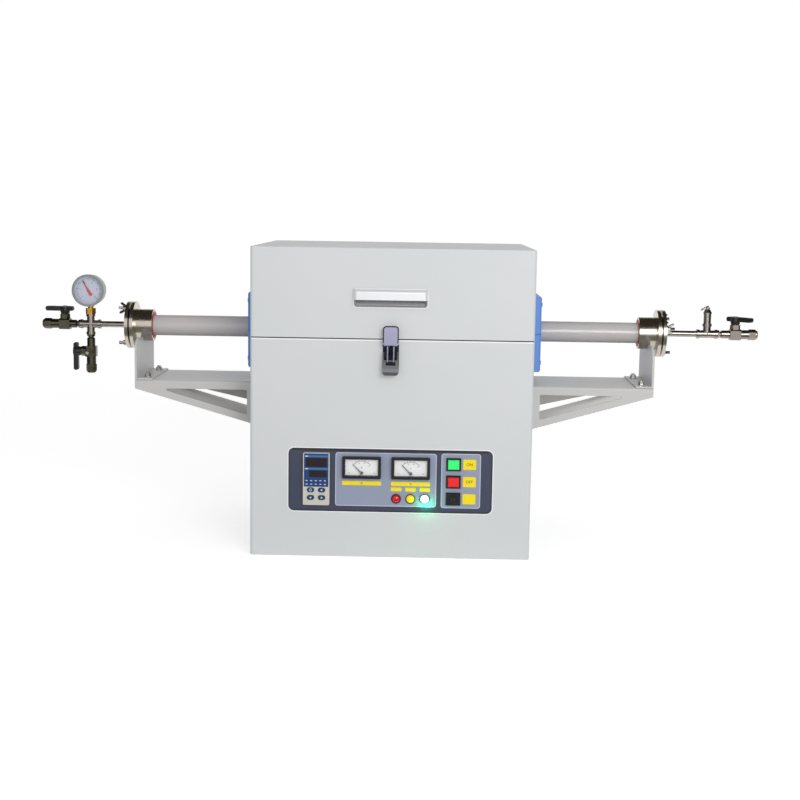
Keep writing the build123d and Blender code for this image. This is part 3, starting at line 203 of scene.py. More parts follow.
def slab(name, x, y, z):
    """A block between two stations along each axis, in millimetres."""
    bpy.ops.mesh.primitive_cube_add(size=1.0, location=[MM * sum(span) / 2 for span in (x, y, z)])
    piece = bpy.context.active_object
    piece.name = name
    piece.scale = [MM * (span[1] - span[0]) for span in (x, y, z)]
    settle()
    return piece


def runs_back(edge):
    """True for an edge that runs from front to back."""
    run = edge.verts[1].co - edge.verts[0].co
    return abs(run.y) > 0.99 * run.length


def round_off(piece, radius, steps=5):
    """Rounds the four corners that a block shows to the front."""
    bevel(piece, runs_back, radius, steps)


def ease_front(piece, size, steps=2):
    """Breaks the front edges of a piece that faces forward."""
    nearest = min(corner.co.y for corner in piece.data.vertices) + 1e-6
    bevel(piece, lambda edge: all(corner.co.y < nearest for corner in edge.verts), size, steps)


def open_middle(piece, wall, axis=1):
    """Cuts the middle out of a block along one axis and leaves a frame of that width."""
    choose(piece, "FACE", lambda face: abs(face.normal[axis]) > 0.9)
    bpy.ops.mesh.inset(thickness=MM * wall)
    bpy.ops.mesh.bridge_edge_loops()
    bpy.ops.object.mode_set(mode="OBJECT")


def fix(piece, material, body):
    """Settles a finished piece at its place, on its body and in its finish."""
    bpy.ops.object.select_all(action="DESELECT")
    piece.select_set(True)
    bpy.context.view_layer.objects.active = piece
    settle()
    piece.data.materials.clear()
    piece.data.materials.append(material)
    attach(piece, body)
    return piece


# Painted highlight: a near white finish for the light that catches the sheet's edges.
painted_highlight_edge = finish("painted_highlight_edge", tint(246, 247, 248), 0.3)
panel_highlight_bead = slab("panel_highlight_bead", wider(opening_x, bead_width), (front - 0.6, panel_face - 0.1),
                  wider(opening_z, bead_width))
round_off(panel_highlight_bead, opening_round + bead_width, 8)
open_middle(panel_highlight_bead, bead_width)
fix(panel_highlight_bead, painted_highlight_edge, "cabinet")
# Painted shade: a dark finish for the shade in the panel's recess and in the lid's split.
painted_shade_dark = finish("painted_shade_dark", tint(48, 50, 54), 0.7)
panel_painted_shade = slab("panel_painted_shade", wider(opening_x, -shade_play), (panel_face - 0.6, panel_face - 0.05),
                  wider(opening_z, -shade_play))
round_off(panel_painted_shade, opening_round - shade_play, 8)
open_middle(panel_painted_shade, shade_width)
low, high = about(opening_z[1] - shade_play - shade_width, 0.2)
shift(panel_painted_shade, "EDGE", lambda edge: all(MM * low < corner.co.z < MM * high for corner in edge.verts),
      (0, 0, -shade_sag))
fix(panel_painted_shade, painted_shade_dark, "cabinet")


# ---------------------------------------------------------------- lid joint
# A dark strip along the front of the split is painted shade of the gap. Below it a bright strip
# on the folded top edge of the cabinet is a painted highlight.
joint_reach = 253.0
for name, z, material in (("joint_painted_shade", (398.6, 400.45), painted_shade_dark),
                          ("joint_painted_highlight", (396.0, 398.5), painted_highlight_edge)):
    strip = slab(name, about(0, joint_reach), (front - 0.25, front + 0.05), z)
    ease_front(strip, 0.12, 1)
    fix(strip, material, "cabinet")


# ---------------------------------------------------------------- control panel
# Slate blue plate behind the cabinet's front. Two lilac grey fields are printed on it
# and framed with a pale line, one round the meters and lamps and one round the switches.
coat(finish("panel_slate", tint(64, 69, 91), 0.4, peel=(1200, 0.08)), "control_panel")
field_print = finish("field_print", tint(150, 158, 181), 0.45)
line_print = finish("line_print", tint(205, 208, 228), 0.4)
meter_x, meter_z = (-52.0, 37.0), 166.0
lamp_x, lamp_z = (11.0, 37.0, 63.0), 109.0
switch_x, switch_z = 114.5, (174.0, 142.0, 110.5)
field_round, line_reach, line_width = 4.0, 0.7, 1.3
through = about(panel_face, 5.0)


def cut_out(piece, cutters):
    """Takes the cutters' shapes out of a piece and throws the cutters away."""
    for cutter in cutters:
        bite = piece.modifiers.new("bite", "BOOLEAN")
        bite.operation = "DIFFERENCE"
        bite.object = cutter
        bpy.context.view_layer.objects.active = piece
        bpy.ops.object.modifier_apply(modifier=bite.name)
        bpy.data.objects.remove(cutter)
    return piece


def disc(name, radius, y, x, z, sides=40):
    """A round piece that faces front, between two depths."""
    bpy.ops.mesh.primitive_cylinder_add(vertices=sides, radius=MM * radius, depth=MM * (y[1] - y[0]),
                                        location=(MM * x, MM * sum(y) / 2, MM * z), rotation=(pi / 2, 0, 0))
    piece = bpy.context.active_object
    piece.name = name
    settle()
    return piece


def printed_field(name, x, z, cutters):
    """A printed field with rounded corners and its pale outline."""
    field = slab(name, x, (panel_face - 0.3, panel_face + 0.1), z)
    round_off(field, field_round)
    fix(cut_out(field, cutters), field_print, "cabinet")
    line = slab(name + "_line", wider(x, line_reach), (panel_face - 0.45, panel_face + 0.05),
                wider(z, line_reach))
    round_off(line, field_round + line_reach)
    open_middle(line, line_width)
    fix(line, line_print, "cabinet")


printed_field("meter_field", (-99, 83), (95, 192),
              [slab("bite", about(x, 34), through, about(meter_z, 19)) for x in meter_x]
              + [disc("bite", 8.0, through, x, lamp_z) for x in lamp_x])
printed_field("switch_field", (93, 163), (94, 193),
              [slab("bite", about(switch_x, 11.8), through, about(z, 10.3)) for z in switch_z])


# ---------------------------------------------------------------- panel labels
# Engraved two-layer labels stuck to the panel: bright yellow with black letters.
label_yellow = finish("label_yellow", tint(255, 230, 6), 0.35)
letter_black = finish("letter_black", tint(30, 30, 32), 0.5)


def words(name, text, size, x, y, z, material):
    """Flat letters on the cabinet that face front, centred on a point."""
    bpy.ops.object.text_add(location=(0, 0, 0))
    piece = bpy.context.active_object
    piece.name = name
    piece.data.body = text
    piece.data.size = MM * size
    piece.data.align_x = "CENTER"
    piece.data.align_y = "CENTER"
    piece.data.extrude = MM * 0.04
    piece.data.resolution_u = 3
    bpy.ops.object.convert(target="MESH")
    piece = bpy.context.active_object
    piece.rotation_euler = (pi / 2, 0, 0)
    piece.location = (MM * x, MM * y, MM * z)
    return fix(piece, material, "cabinet")


def label(name, x, z, text="", size=0.0):
    """A label plate, with letters where it has a text."""
    plate = slab(name, x, (panel_face - 0.8, panel_face - 0.2), z)
    round_off(plate, 1.4, 3)
    ease_front(plate, 0.2, 1)
    fix(plate, label_yellow, "cabinet")
    if text:
        words(name + "_letters", text, size, sum(x) / 2, panel_face - 0.82, sum(z) / 2,
              letter_black)


label("label_ammeter", about(meter_x[0], 35.5), about(136.4, 3.8), "A", 6.5)
label("label_voltmeter", about(meter_x[1], 35.5), about(136.4, 3.8), "V", 6.5)
for number, x in enumerate(lamp_x):
    label(f"label_lamp_{number + 1}", about(x, 9.6), about(126.2, 3.6))
for name, z, text in (("label_on", 174.0, "ON"), ("label_off", 142.0, "OFF"), ("label_key", 110.4, "")):
    label(name, about(143.4, 11.8), about(z, 9.4), text, 7.5)


# ---------------------------------------------------------------- temperature controller
# Panel instrument in a cream grey moulded bezel. A tinted sheet covers two dark
# read-outs and a row of status marks, and four domed oval keys stand below it.
coat(finish("bezel_cream", tint(205, 203, 192), 0.45, peel=(1500, 0.1)), "controller_housing")
window_blue = finish("window_blue", tint(30, 66, 122), 0.3)
coat(window_blue, "controller_display")
controller_x, sheet_face = -134.0, -218.3
sheet = slab("window_sheet", about(controller_x, 22.2), (sheet_face, sheet_face + 0.35), (129.9, 190.8))
round_off(sheet, 1.0, 3)
ease_front(sheet, 0.1, 1)
fix(sheet, window_blue, "cabinet")
band_blue = finish("band_blue", tint(66, 116, 170), 0.35)
readout_dark = finish("readout_dark", tint(46, 38, 40), 0.15)
mark_white = finish("mark_white", tint(214, 222, 236), 0.5)
key_navy = finish("key_navy", tint(26, 54, 98), 0.4, peel=(1500, 0.1))
coat(key_navy, "set_key", "shift_key", "down_key", "up_key")
for name, z in (("band_top", 185.9), ("band_middle", 162.9)):
    band = slab(name, about(controller_x, 22.0), (sheet_face - 0.08, sheet_face + 0.05), about(z, 1.7))
    ease_front(band, 0.05, 1)
    fix(band, band_blue, "cabinet")
    tag = slab(name + "_tag", (-154, -149), (sheet_face - 0.15, sheet_face - 0.05), about(z, 0.9))
    ease_front(tag, 0.05, 1)
    fix(tag, mark_white, "cabinet")
for name, x, z in (("readout_upper", (-152.6, -115.0), (166.4, 182.6)),
                   ("readout_lower", (-146.8, -115.0), (147.4, 159.6))):
    readout = slab(name, x, (sheet_face - 0.2, sheet_face + 0.1), z)
    round_off(readout, 0.8, 3)
    fix(readout, readout_dark, "cabinet")


def join(name, pieces):
    """Joins pieces of one finish into a single piece."""
    bpy.ops.object.select_all(action="DESELECT")
    for piece in pieces:
        piece.select_set(True)
    bpy.context.view_layer.objects.active = pieces[0]
    bpy.ops.object.join()
    pieces[0].name = name
    return pieces[0]


def copies(piece, places):
    """Copies of a piece, each with its own mesh, moved or turned to its place."""
    made = []
    for place in places:
        copy = piece.copy()
        copy.data = piece.data.copy()
        bpy.context.scene.collection.objects.link(copy)
        copy.matrix_world = place
        made.append(copy)
    bpy.data.objects.remove(piece)
    return made


mark = slab("mark", about(0, 1.8), (sheet_face - 0.12, sheet_face + 0.05), about(0, 0.7))
ease_front(mark, 0.05, 1)
first_mark, mark_pitch, mark_rows = -151.2, 8.3, (141.0, 134.5)
marks = copies(mark, [Matrix.Translation((MM * (first_mark + mark_pitch * column), 0, MM * z))
                      for z in mark_rows for column in range(5)])
fix(join("status_marks", marks), mark_white, "cabinet")

symbol_y = -219.25
arrow = disc("arrow", 2.5, about(0, 0.15), 0, 0, 3)
ease_front(arrow, 0.15, 1)
arrow_keys = {"shift_key": (-124, 124, -pi / 2), "down_key": (-144, 110, pi), "up_key": (-124, 110, 0.0)}
arrows = copies(arrow, [Matrix.Translation((MM * x, MM * symbol_y, MM * z)) @ Matrix.Rotation(turn, 4, "Y")
                        for x, z, turn in arrow_keys.values()])
for key, symbol in zip(arrow_keys, arrows):
    symbol.name = key + "_mark"
    fix(symbol, mark_white, key)
loop_mark = disc("set_key_mark", 2.5, about(symbol_y, 0.15), -144, 124, 28)
open_middle(loop_mark, 0.9)
ease_front(loop_mark, 0.1, 1)
fix(loop_mark, mark_white, "set_key")


# ---------------------------------------------------------------- panel meters
# Moving-coil meters in black moulded cases: a white card with a printed scale behind
# a clear pane, a thin grey needle, and a screw below the window that sets zero.
coat(finish("meter_black", tint(26, 26, 28), 0.35, peel=(1500, 0.08)), "meter_cases")
coat(finish("needle_grey", tint(84, 86, 90), 0.4), "ammeter_needle", "voltmeter_needle")
card_white = finish("card_white", tint(252, 252, 252), 0.6)
scale_black = finish("scale_black", tint(40, 42, 44), 0.6)
card_face, print_face, pivot_z = -211.35, -211.36, 155.5
meter_sweep, number_radius, screw_drop = 90, 18.2, 17.4


def scale_marks(name, x, z, y, radius, length, width, sweep, steps):
    """A fan of thin raised lines round a dial's centre, even to both sides of the top."""
    mark = slab(name, about(x, width / 2), (y - 0.06, y + 0.04), (z + radius, z + radius + length))
    ease_front(mark, 0.04, 1)
    centre = Vector((MM * x, 0, MM * z))
    angles = [-sweep / 2 + sweep / steps * step for step in range(steps + 1)]
    return join(name, copies(mark, [Matrix.Translation(centre) @ Matrix.Rotation(radians(angle), 4, "Y")
                                    @ Matrix.Translation(-centre) for angle in angles]))


for name, letter, x, top in (("ammeter", "A", meter_x[0], 30), ("voltmeter", "V", meter_x[1], 150)):
    card = slab(name + "_card", about(x, 29.7), (card_face, card_face + 0.3), about(meter_z, 14.7))
    ease_front(card, 0.1, 1)
    fix(card, card_white, "cabinet")
    for part, y, radius, length, width, steps in (("_fine_scale", card_face, 21.4, 1.8, 0.2, 30),
                                                  ("_bold_scale", print_face, 21.4, 2.9, 0.4, 6),
                                                  ("_arc", card_face, 21.0, 0.45, 1.2, 30)):
        lines = scale_marks(name + part, x, pivot_z, y, radius, length, width, meter_sweep, steps)
        fix(lines, scale_black, "cabinet")
    for step in range(4):
        angle = radians(-45 + 30 * step)
        words(f"{name}_number_{step}", str(top * step // 3), 2.9, x + number_radius * sin(angle), print_face,
              pivot_z + number_radius * cos(angle), scale_black)
    for part, text, size, across, up in (("_letter", letter, 4.6, 0, 10), ("_class", "2.5", 3.2, -23, -0.5),
                                         ("_rate", "50", 3.2, 23, -0.5)):
        words(name + part, text, size, x + across, print_face, pivot_z + up, scale_black)
    screw = disc(name + "_zero_screw", 1.7, (-218.5, -217.8), x, meter_z - screw_drop, 20)
    slot_cut = slab("bite", about(x, 2), (-219, -218.2), about(meter_z - screw_drop, 0.25))
    fix(cut_out(screw, [slot_cut]), scale_black, "cabinet")


# ---------------------------------------------------------------- clear panes
# Clear sheet in front of both meters and glass in front of the gauge.
pane = finish("clear_pane", tint(250, 252, 254), 0.02)
pane.node_tree.nodes["Principled BSDF"].inputs["Alpha"].default_value = 0.05
pane.node_tree.nodes["Principled BSDF"].inputs["IOR"].default_value = 1.2
coat(pane, "dial_windows")


# ---------------------------------------------------------------- pilot lamps
# Three faceted polycarbonate lenses in dark rims. The green one is lit; the red and yellow ones glow faintly
# as well, painted light.
rim_black = finish("rim_black", tint(30, 30, 32), 0.3)
lens_seat = -211.6


def light_up(material, colour, strength):
    """Gives a finish a glow of its own."""
    shader = material.node_tree.nodes["Principled BSDF"]
    shader.inputs["Emission Color"].default_value = colour
    shader.inputs["Emission Strength"].default_value = strength
    return material


def add_lamp(name, kind, power, place, hidden=True):
    """A light at its place. A hidden one is seen neither by the eye nor by mirrors."""
    lamp = bpy.data.objects.new(name, bpy.data.lights.new(name, kind))
    lamp.data.energy = power
    bpy.context.scene.collection.objects.link(lamp)
    lamp.matrix_world = place
    lamp.visible_camera = lamp.visible_glossy = not hidden
    return lamp


bpy.ops.mesh.primitive_uv_sphere_add(segments=28, ring_count=14, radius=MM * 7.15)
dome = bpy.context.active_object
dome.scale = (1.0, 0.6, 1.0)
settle()
dome.location = (0, MM * lens_seat, MM * lamp_z)
lens = join("lens", [dome, disc("barrel", 7.1, (lens_seat, -190), 0, lamp_z, 28)])
settle()
rim = disc("rim", 8.9, (panel_face - 2.4, panel_face), 0, lamp_z)
open_middle(rim, 1.5)
ease_front(rim, 0.5)
lamp_places = [Matrix.Translation((MM * x, 0, 0)) for x in lamp_x]
# Painted light: the red and yellow lenses are not lit but glow faintly.
lamp_lights = (("lamp_red", tint(206, 16, 26), 0.08), ("lamp_yellow", tint(250, 205, 16), 0.45),
               ("lamp_green", tint(170, 255, 214), 5.0))
for (name, colour, shine), lens_copy, rim_copy in zip(
        lamp_lights, copies(lens, lamp_places), copies(rim, lamp_places)):
    plastic = light_up(finish(name + "_plastic", colour, 0.15), colour, shine)
    plastic.node_tree.nodes["Principled BSDF"].inputs["Coat Weight"].default_value = 0.6
    lens_copy.name = name
    rim_copy.name = name + "_rim"
    fix(lens_copy, plastic, "cabinet")
    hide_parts("lamp_lenses")
    fix(rim_copy, rim_black, "cabinet")
glow = add_lamp("green_glow", "POINT", 0.034,
                Matrix.Translation((MM * (lamp_x[2] + 2), MM * -219, MM * (lamp_z - 9))))
glow.data.color = (0.0, 1.0, 0.32)
glow.data.shadow_soft_size = 0.004


# ---------------------------------------------------------------- switches
# Rectangular push buttons with lit caps in black clip-in housings, and a key switch
# in the same housing with a metal face round its slot.
coat(finish("housing_black", tint(24, 26, 28), 0.35), "panel_bezels", "key_rotor")
start_colour, stop_colour = tint(52, 232, 112), tint(228, 32, 36)
coat(light_up(finish("start_green", start_colour, 0.3), start_colour, 0.3), "start_button")
coat(light_up(finish("stop_red", stop_colour, 0.3), stop_colour, 0.2), "stop_button")
key_metal = finish("key_metal", tint(96, 98, 102), 0.3, metal=1.0)
key_face = disc("key_face", 3.6, (-215.45, -215.1), switch_x, switch_z[2])
key_slot = slab("bite", about(switch_x, 1.1), (-217, -214), about(switch_z[2], 4.5))
fix(cut_out(key_face, [key_slot]), key_metal, "key_rotor")


# ---------------------------------------------------------------- lid handle
# Flush pull cast in bright alloy, with a grey textured liner in its recess. The liner is painted
# near white to lift the recess's shade, painted light; its mouth is a darker copy, painted shade under the
# hood.
coat(finish("pull_bright", tint(232, 233, 236), 0.32, metal=0.25), "lid_handle")
handle_x, mouth_top = -3.5, 469.5
mouth_reach, mouth_height, mouth_round = 65.55, 12.55, 5.1
deep_reach, deep_height = 62.65, 9.65
liner_reach = 62.3
mouth = slab("mouth_liner", about(handle_x, mouth_reach), (front - 2.9, front),
             (mouth_top - mouth_height, mouth_top))
bevel(mouth, lambda edge: runs_back(edge) and edge.verts[0].co.z < MM * (mouth_top - mouth_height / 2),
      mouth_round, 5)
choose(mouth, "FACE", lambda face: face.normal.y > 0.9)
bpy.ops.transform.resize(value=(deep_reach / mouth_reach, 1.0, deep_height / mouth_height),
                         center_override=(MM * handle_x, MM * front, MM * mouth_top))
bpy.ops.object.mode_set(mode="OBJECT")
choose(mouth, "FACE", lambda face: abs(face.normal.y) > 0.9 or face.normal.z > 0.9)
bpy.ops.mesh.delete(type="FACE")
bpy.ops.object.mode_set(mode="OBJECT")
sheet = mouth.modifiers.new("sheet", "SOLIDIFY")
sheet.thickness = MM * 0.12
sheet.offset = 0.0
bpy.ops.object.modifier_apply(modifier=sheet.name)
sloped = slab("floor_liner", about(handle_x, liner_reach), (-212.05, -195.8), (460.15, 460.3))
shift(sloped, "FACE", lambda face: face.normal.y > 0.9, (0, 0, 8))
rear = slab("rear_liner", about(handle_x, liner_reach), (-195.9, -195.65), (468.3, 484.8))
ease_front(rear, 0.1, 1)
# Painted shade and light: the mouth's darker grey and the liner's near white stand in for the recess's
# lighting.
mouth_painted_shade = finish("mouth_painted_shade", tint(150, 150, 153), 0.5, peel=(500, 0.5))
liner_painted_light = finish("liner_painted_light", tint(224, 224, 226), 0.45, peel=(500, 0.5),
                    second=(tint(170, 170, 174), 300, 0.1))
fix(mouth, mouth_painted_shade, "lid")
fix(join("handle_liner", [sloped, rear]), liner_painted_light, "lid")


# ---------------------------------------------------------------- latch
# Chromed draw latch: a claw that hooks over a keeper, drawn down by a lever. A dark
# spring stands between the claw's two arms. The claw's violet tint is a painted reflection,
# and the lever and base are painted darker than chrome, painted shade.
coat(finish("chrome", tint(222, 224, 228), 0.08, metal=1.0), "latch_keeper")
# Painted reflection: the claw's violet tint.
coat(finish("claw_painted_reflection", tint(172, 172, 200), 0.12, metal=1.0), "latch_claw")
# Painted shade: the lever and base are darker greys than chrome.
coat(finish("lever_painted_shade", tint(118, 119, 124), 0.3, metal=0.6), "latch_lever")
coat(finish("base_painted_shade", tint(44, 45, 52), 0.3, metal=0.8), "latch_base")


def coil(name, wire, radius, pitch, turns, steps=12):
    """A coil that climbs +Z from the origin, made by screwing its wire's section."""
    bpy.ops.mesh.primitive_circle_add(vertices=6, radius=MM * wire, rotation=(pi / 2, 0, 0))
    piece = bpy.context.active_object
    piece.name = name
    settle()
    shift(piece, "EDGE", lambda edge: True, (radius, 0, 0))
    winding = piece.modifiers.new("winding", "SCREW")
    winding.axis = "Z"
    winding.angle = 2 * pi
    winding.screw_offset = MM * pitch
    winding.iterations = turns
    winding.steps = steps
    winding.render_steps = steps
    bpy.ops.object.modifier_apply(modifier=winding.name)
    bpy.ops.object.mode_set(mode="EDIT")
    bpy.ops.mesh.select_all(action="SELECT")
    bpy.ops.mesh.remove_doubles(threshold=1e-6)
    bpy.ops.mesh.select_all(action="DESELECT")
    bpy.ops.mesh.select_mode(type="VERT")
    bpy.ops.mesh.select_non_manifold()
    bpy.ops.mesh.fill()
    bpy.ops.mesh.select_all(action="SELECT")
    bpy.ops.mesh.normals_make_consistent(inside=False)
    bpy.ops.object.mode_set(mode="OBJECT")
    bpy.ops.object.shade_smooth()
    return piece


spring_dark = finish("spring_dark", tint(58, 58, 62), 0.3, metal=0.8)
spring = coil("latch_spring", 0.5, 2.2, 1.7, 12)
spring.location = (MM * -2, MM * -224.6, MM * 366.4)
fix(spring, spring_dark, "latch_claw")


# ---------------------------------------------------------------- furnace chamber
# White vacuum-formed fibre halves in plain steel trays. Coils of oxidised resistance
# wire lie in the grooves of both halves.
coat(finish("fibre_white", tint(236, 233, 224), 0.95, peel=(260, 0.8), second=(tint(222, 216, 202), 30, 0.0)),
     "lower_insulation", "upper_insulation")
coat(finish("zinc_plate", tint(186, 190, 192), 0.35, metal=0.9, second=(tint(166, 170, 174), 40, 0.15)),
     "deck_plate", "lower_tray", "lid_deck", "hinge_lower", "hinge_upper")
coat(finish("heat_sink", tint(150, 152, 156), 0.4, metal=0.8), "power_module")
wire_oxide = finish("wire_oxide", tint(74, 66, 62), 0.6, metal=0.6)
tube_z, chamber_radius, coil_reach, groove_spread, grooves = 400, 33.0, 143.0, 116.0, 5
groove_turns = [radians(middle + groove_spread * (number / (grooves - 1) - 0.5))
                for middle in (-90.0, 90.0) for number in range(grooves)]
groove_starts = [Vector((-coil_reach, chamber_radius * cos(turn), tube_z + chamber_radius * sin(turn))) * MM
                 for turn in groove_turns]
windings = copies(coil("winding", 0.45, 2.15, 4.4, 65, 10),
                  [Matrix.Translation(start) @ Matrix.Rotation(pi / 2, 4, "Y") for start in groove_starts])
for name, half, body in (("lower_heater", windings[:grooves], "cabinet"),
                         ("upper_heater", windings[grooves:], "lid")):
    coils = fix(join(name + "_coils", half), wire_oxide, body)
    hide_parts(name)


# ---------------------------------------------------------------- quartz tube
# Clear fused quartz, drawn, with a faint warm haze. Towards both edges, where the eye
# looks along the wall, its colour is painted darker: painted shade.
quartz_haze = tint(222, 217, 216)
quartz = finish("quartz", quartz_haze, 0.16)
quartz_nodes, quartz_links = quartz.node_tree.nodes, quartz.node_tree.links
quartz_shader = quartz_nodes["Principled BSDF"]
quartz_shader.inputs["IOR"].default_value = 1.458
quartz_shader.inputs["Transmission Weight"].default_value = 0.25
# Painted shade: the colour darkens towards the edges the eye sees edge-on.
wall_view = quartz_nodes.new("ShaderNodeLayerWeight")
wall_view.inputs["Blend"].default_value = 0.14
painted_edge_shade = quartz_nodes.new("ShaderNodeMix")
painted_edge_shade.data_type = "RGBA"
painted_edge_shade.inputs[first_in].default_value = quartz_haze
painted_edge_shade.inputs[second_in].default_value = tint(70, 66, 66)
quartz_links.new(wall_view.outputs["Facing"], painted_edge_shade.inputs["Factor"])
quartz_links.new(painted_edge_shade.outputs[mixed_out], quartz_shader.inputs["Base Color"])
coat(quartz, "quartz_tube")


# ---------------------------------------------------------------- side covers, brackets and supports
# Pressed covers in satin blue, and folded brackets and tube supports in a light grey
# a little darker than the cabinet. Bolts and washers are stainless.
coat(finish("cover_blue", tint(96, 146, 222), 0.4, peel=(900, 0.1)), "lower_covers", "upper_covers")
coat(finish("bracket_grey", tint(202, 201, 200), 0.42, peel=(900, 0.12)),
     "left_bracket", "right_bracket", "tube_saddles")
stainless = finish("stainless", tint(206, 202, 196), 0.16, metal=1.0, second=(tint(176, 172, 166), 60, 0.1))
coat(stainless, "fasteners", "wing_nuts", "thermocouple", "relief_stem")
hands = (-1, 1)  # left and right
bolt_y, bracket_top, foot_bolt_x = (-55, 55), 306, 470.5
root_x, root_bolt_z = 258, (278, 241)
cap_end, stud_circle = 518, 38.5
left_studs, right_studs = (60.0, -60.0, 180.0), (18.0, -102.0, 138.0)


def puck(name, radius, thick, sides=24):
    """A round blank that stands on the origin along +Z."""
    bpy.ops.mesh.primitive_cylinder_add(vertices=sides, radius=MM * radius, depth=MM * thick,
                                        location=(0, 0, MM * thick / 2))
    piece = bpy.context.active_object
    piece.name = name
    settle()
    return piece


def ring(name, radius, thick, wall, sides=24):
    """A flat ring round +Z that lies on the origin, with its upper outer edge broken."""
    piece = puck(name, radius, thick, sides)
    open_middle(piece, wall, axis=2)
    bevel(piece, lambda edge: all(corner.co.z > MM * thick - 1e-6 and corner.co.xy.length > MM * radius - 1e-5
                                  for corner in edge.verts), 0.2, 1)
    return piece


def seat(place, direction):
    """The station of a piece that stands on a face, its axis along the direction."""
    turn = Vector((0, 0, 1)).rotation_difference(Vector(direction)).to_matrix().to_4x4()
    return Matrix.Translation(Vector(place) * MM) @ turn


washers = copies(ring("foot_washer", 8.4, 1.2, 2.6),
                 [seat((side * foot_bolt_x, y, bracket_top), (0, 0, 1)) for side in hands for y in bolt_y])
washers += copies(ring("root_washer", 6.8, 1.2, 2.2),
                  [seat((side * root_x, y, z), (side, 0, 0))
                   for side in hands for y in bolt_y for z in root_bolt_z])
studs = [(side, radians(turn)) for side, turns in zip(hands, (left_studs, right_studs)) for turn in turns]
washers += copies(ring("clamp_washer", 6.9, 1.0, 1.3),
                  [seat((side * cap_end, -stud_circle * cos(turn), tube_z + stud_circle * sin(turn)),
                        (side, 0, 0)) for side, turn in studs])
fix(join("washers", washers), stainless, "cabinet")


# ---------------------------------------------------------------- vacuum flanges and pipework
# Flanges turned from stainless bar. Red silicone rings grip the tube and seal each cap.
# Beyond each cap joint the ring is painted near black: painted shade in the gap between
# disc and cap. Cast and turned fittings have a duller skin.
coat(finish("turned_steel", tint(206, 199, 187), 0.17, metal=1.0, second=(tint(190, 183, 170), 90, 0.1)),
     "flange_bodies", "flange_caps")
barrel_mouth, cap_joint = 468, 506
silicone_red = tint(186, 30, 28)
seal_red = finish("seal_red", silicone_red, 0.45)
seal_nodes, seal_links = seal_red.node_tree.nodes, seal_red.node_tree.links
seal_place = seal_nodes.new("ShaderNodeTexCoord")
seal_split = seal_nodes.new("ShaderNodeSeparateXYZ")
reach = seal_nodes.new("ShaderNodeMath")
reach.operation = "ABSOLUTE"
beyond = seal_nodes.new("ShaderNodeMath")
beyond.operation = "GREATER_THAN"
beyond.inputs[1].default_value = MM * cap_joint
# Painted shade: the seal turns near black beyond the cap joints.
seal_painted_shade = seal_nodes.new("ShaderNodeMix")
seal_painted_shade.data_type = "RGBA"
seal_painted_shade.inputs[first_in].default_value = silicone_red
seal_painted_shade.inputs[second_in].default_value = tint(34, 28, 24)
seal_links.new(seal_place.outputs["Object"], seal_split.inputs["Vector"])
seal_links.new(seal_split.outputs["X"], reach.inputs[0])
seal_links.new(reach.outputs[0], beyond.inputs[0])
seal_links.new(beyond.outputs[0], seal_painted_shade.inputs["Factor"])
seal_links.new(seal_painted_shade.outputs[mixed_out], seal_nodes["Principled BSDF"].inputs["Base Color"])
coat(seal_red, "flange_seals")
lips = copies(ring("lip", 26.4, 0.6, 6.0, 48),
              [seat((side * barrel_mouth, 0, tube_z), (-side, 0, 0)) for side in hands])
fix(join("mouth_seals", lips), seal_red, "cabinet")
coat(finish("cast_fitting", tint(190, 184, 176), 0.18, metal=1.0, second=(tint(140, 134, 126), 160, 0.12)),
     "left_cross", "right_tee", "relief_valve")
# Painted shade: the left valve and the drain valve take a darker copy of the right valve's steel, for the
# darker left side.
coat(finish("valve_painted_shade", tint(104, 100, 86), 0.2, metal=1.0, second=(tint(84, 80, 68), 140, 0.1)),
     "left_valve", "drain_valve")
coat(finish("bright_valve", tint(168, 160, 152), 0.2, metal=1.0, second=(tint(140, 132, 124), 140, 0.1)),
     "right_valve")
coat(finish("lever_nylon", tint(24, 24, 26), 0.4, peel=(1200, 0.15)),
     "left_valve_lever", "drain_valve_lever", "right_valve_lever", "mains_gland")
screw = puck("screw", 3.2, 1.0)
choose(screw, "FACE", lambda face: face.normal.z > 0.9)
bpy.ops.mesh.inset(thickness=MM * 0.4)
bpy.ops.transform.translate(value=(0, 0, MM * 0.3))
bpy.ops.object.mode_set(mode="OBJECT")
screw = cut_out(screw, [slab("bite", about(0, 4), about(0, 0.4), (0.8, 2))])
levers = {"left_valve_lever": seat((-642, 0, 434), (0, 0, 1)),
          "right_valve_lever": seat((655, 0, 434), (0, 0, 1)),
          "drain_valve_lever": seat((-592, -34, 347), (0, -1, 0))}
for lever, head in zip(levers, copies(screw, levers.values())):
    head.name = lever + "_screw"
    fix(head, stainless, lever)


# ---------------------------------------------------------------- gauge
# Vacuum and pressure gauge in a silver case on a brass adapter: a white dial, painted a darker
# lavender grey as painted shade, with a black scale, a red pointer with a black tip, and a clear glass.
coat(finish("gauge_silver", tint(146, 156, 155), 0.3, metal=0.4), "gauge_case")
coat(finish("adapter_brass", tint(214, 160, 70), 0.25, metal=1.0), "gauge_adapter")
coat(finish("pointer_red", tint(196, 30, 34), 0.4), "gauge_pointer")
gauge_x, gauge_z, dial_face = -592.0, 466.0, -17.25
gauge_sweep, pointer_turn, figure_radius = 270, -30.0, 16.4
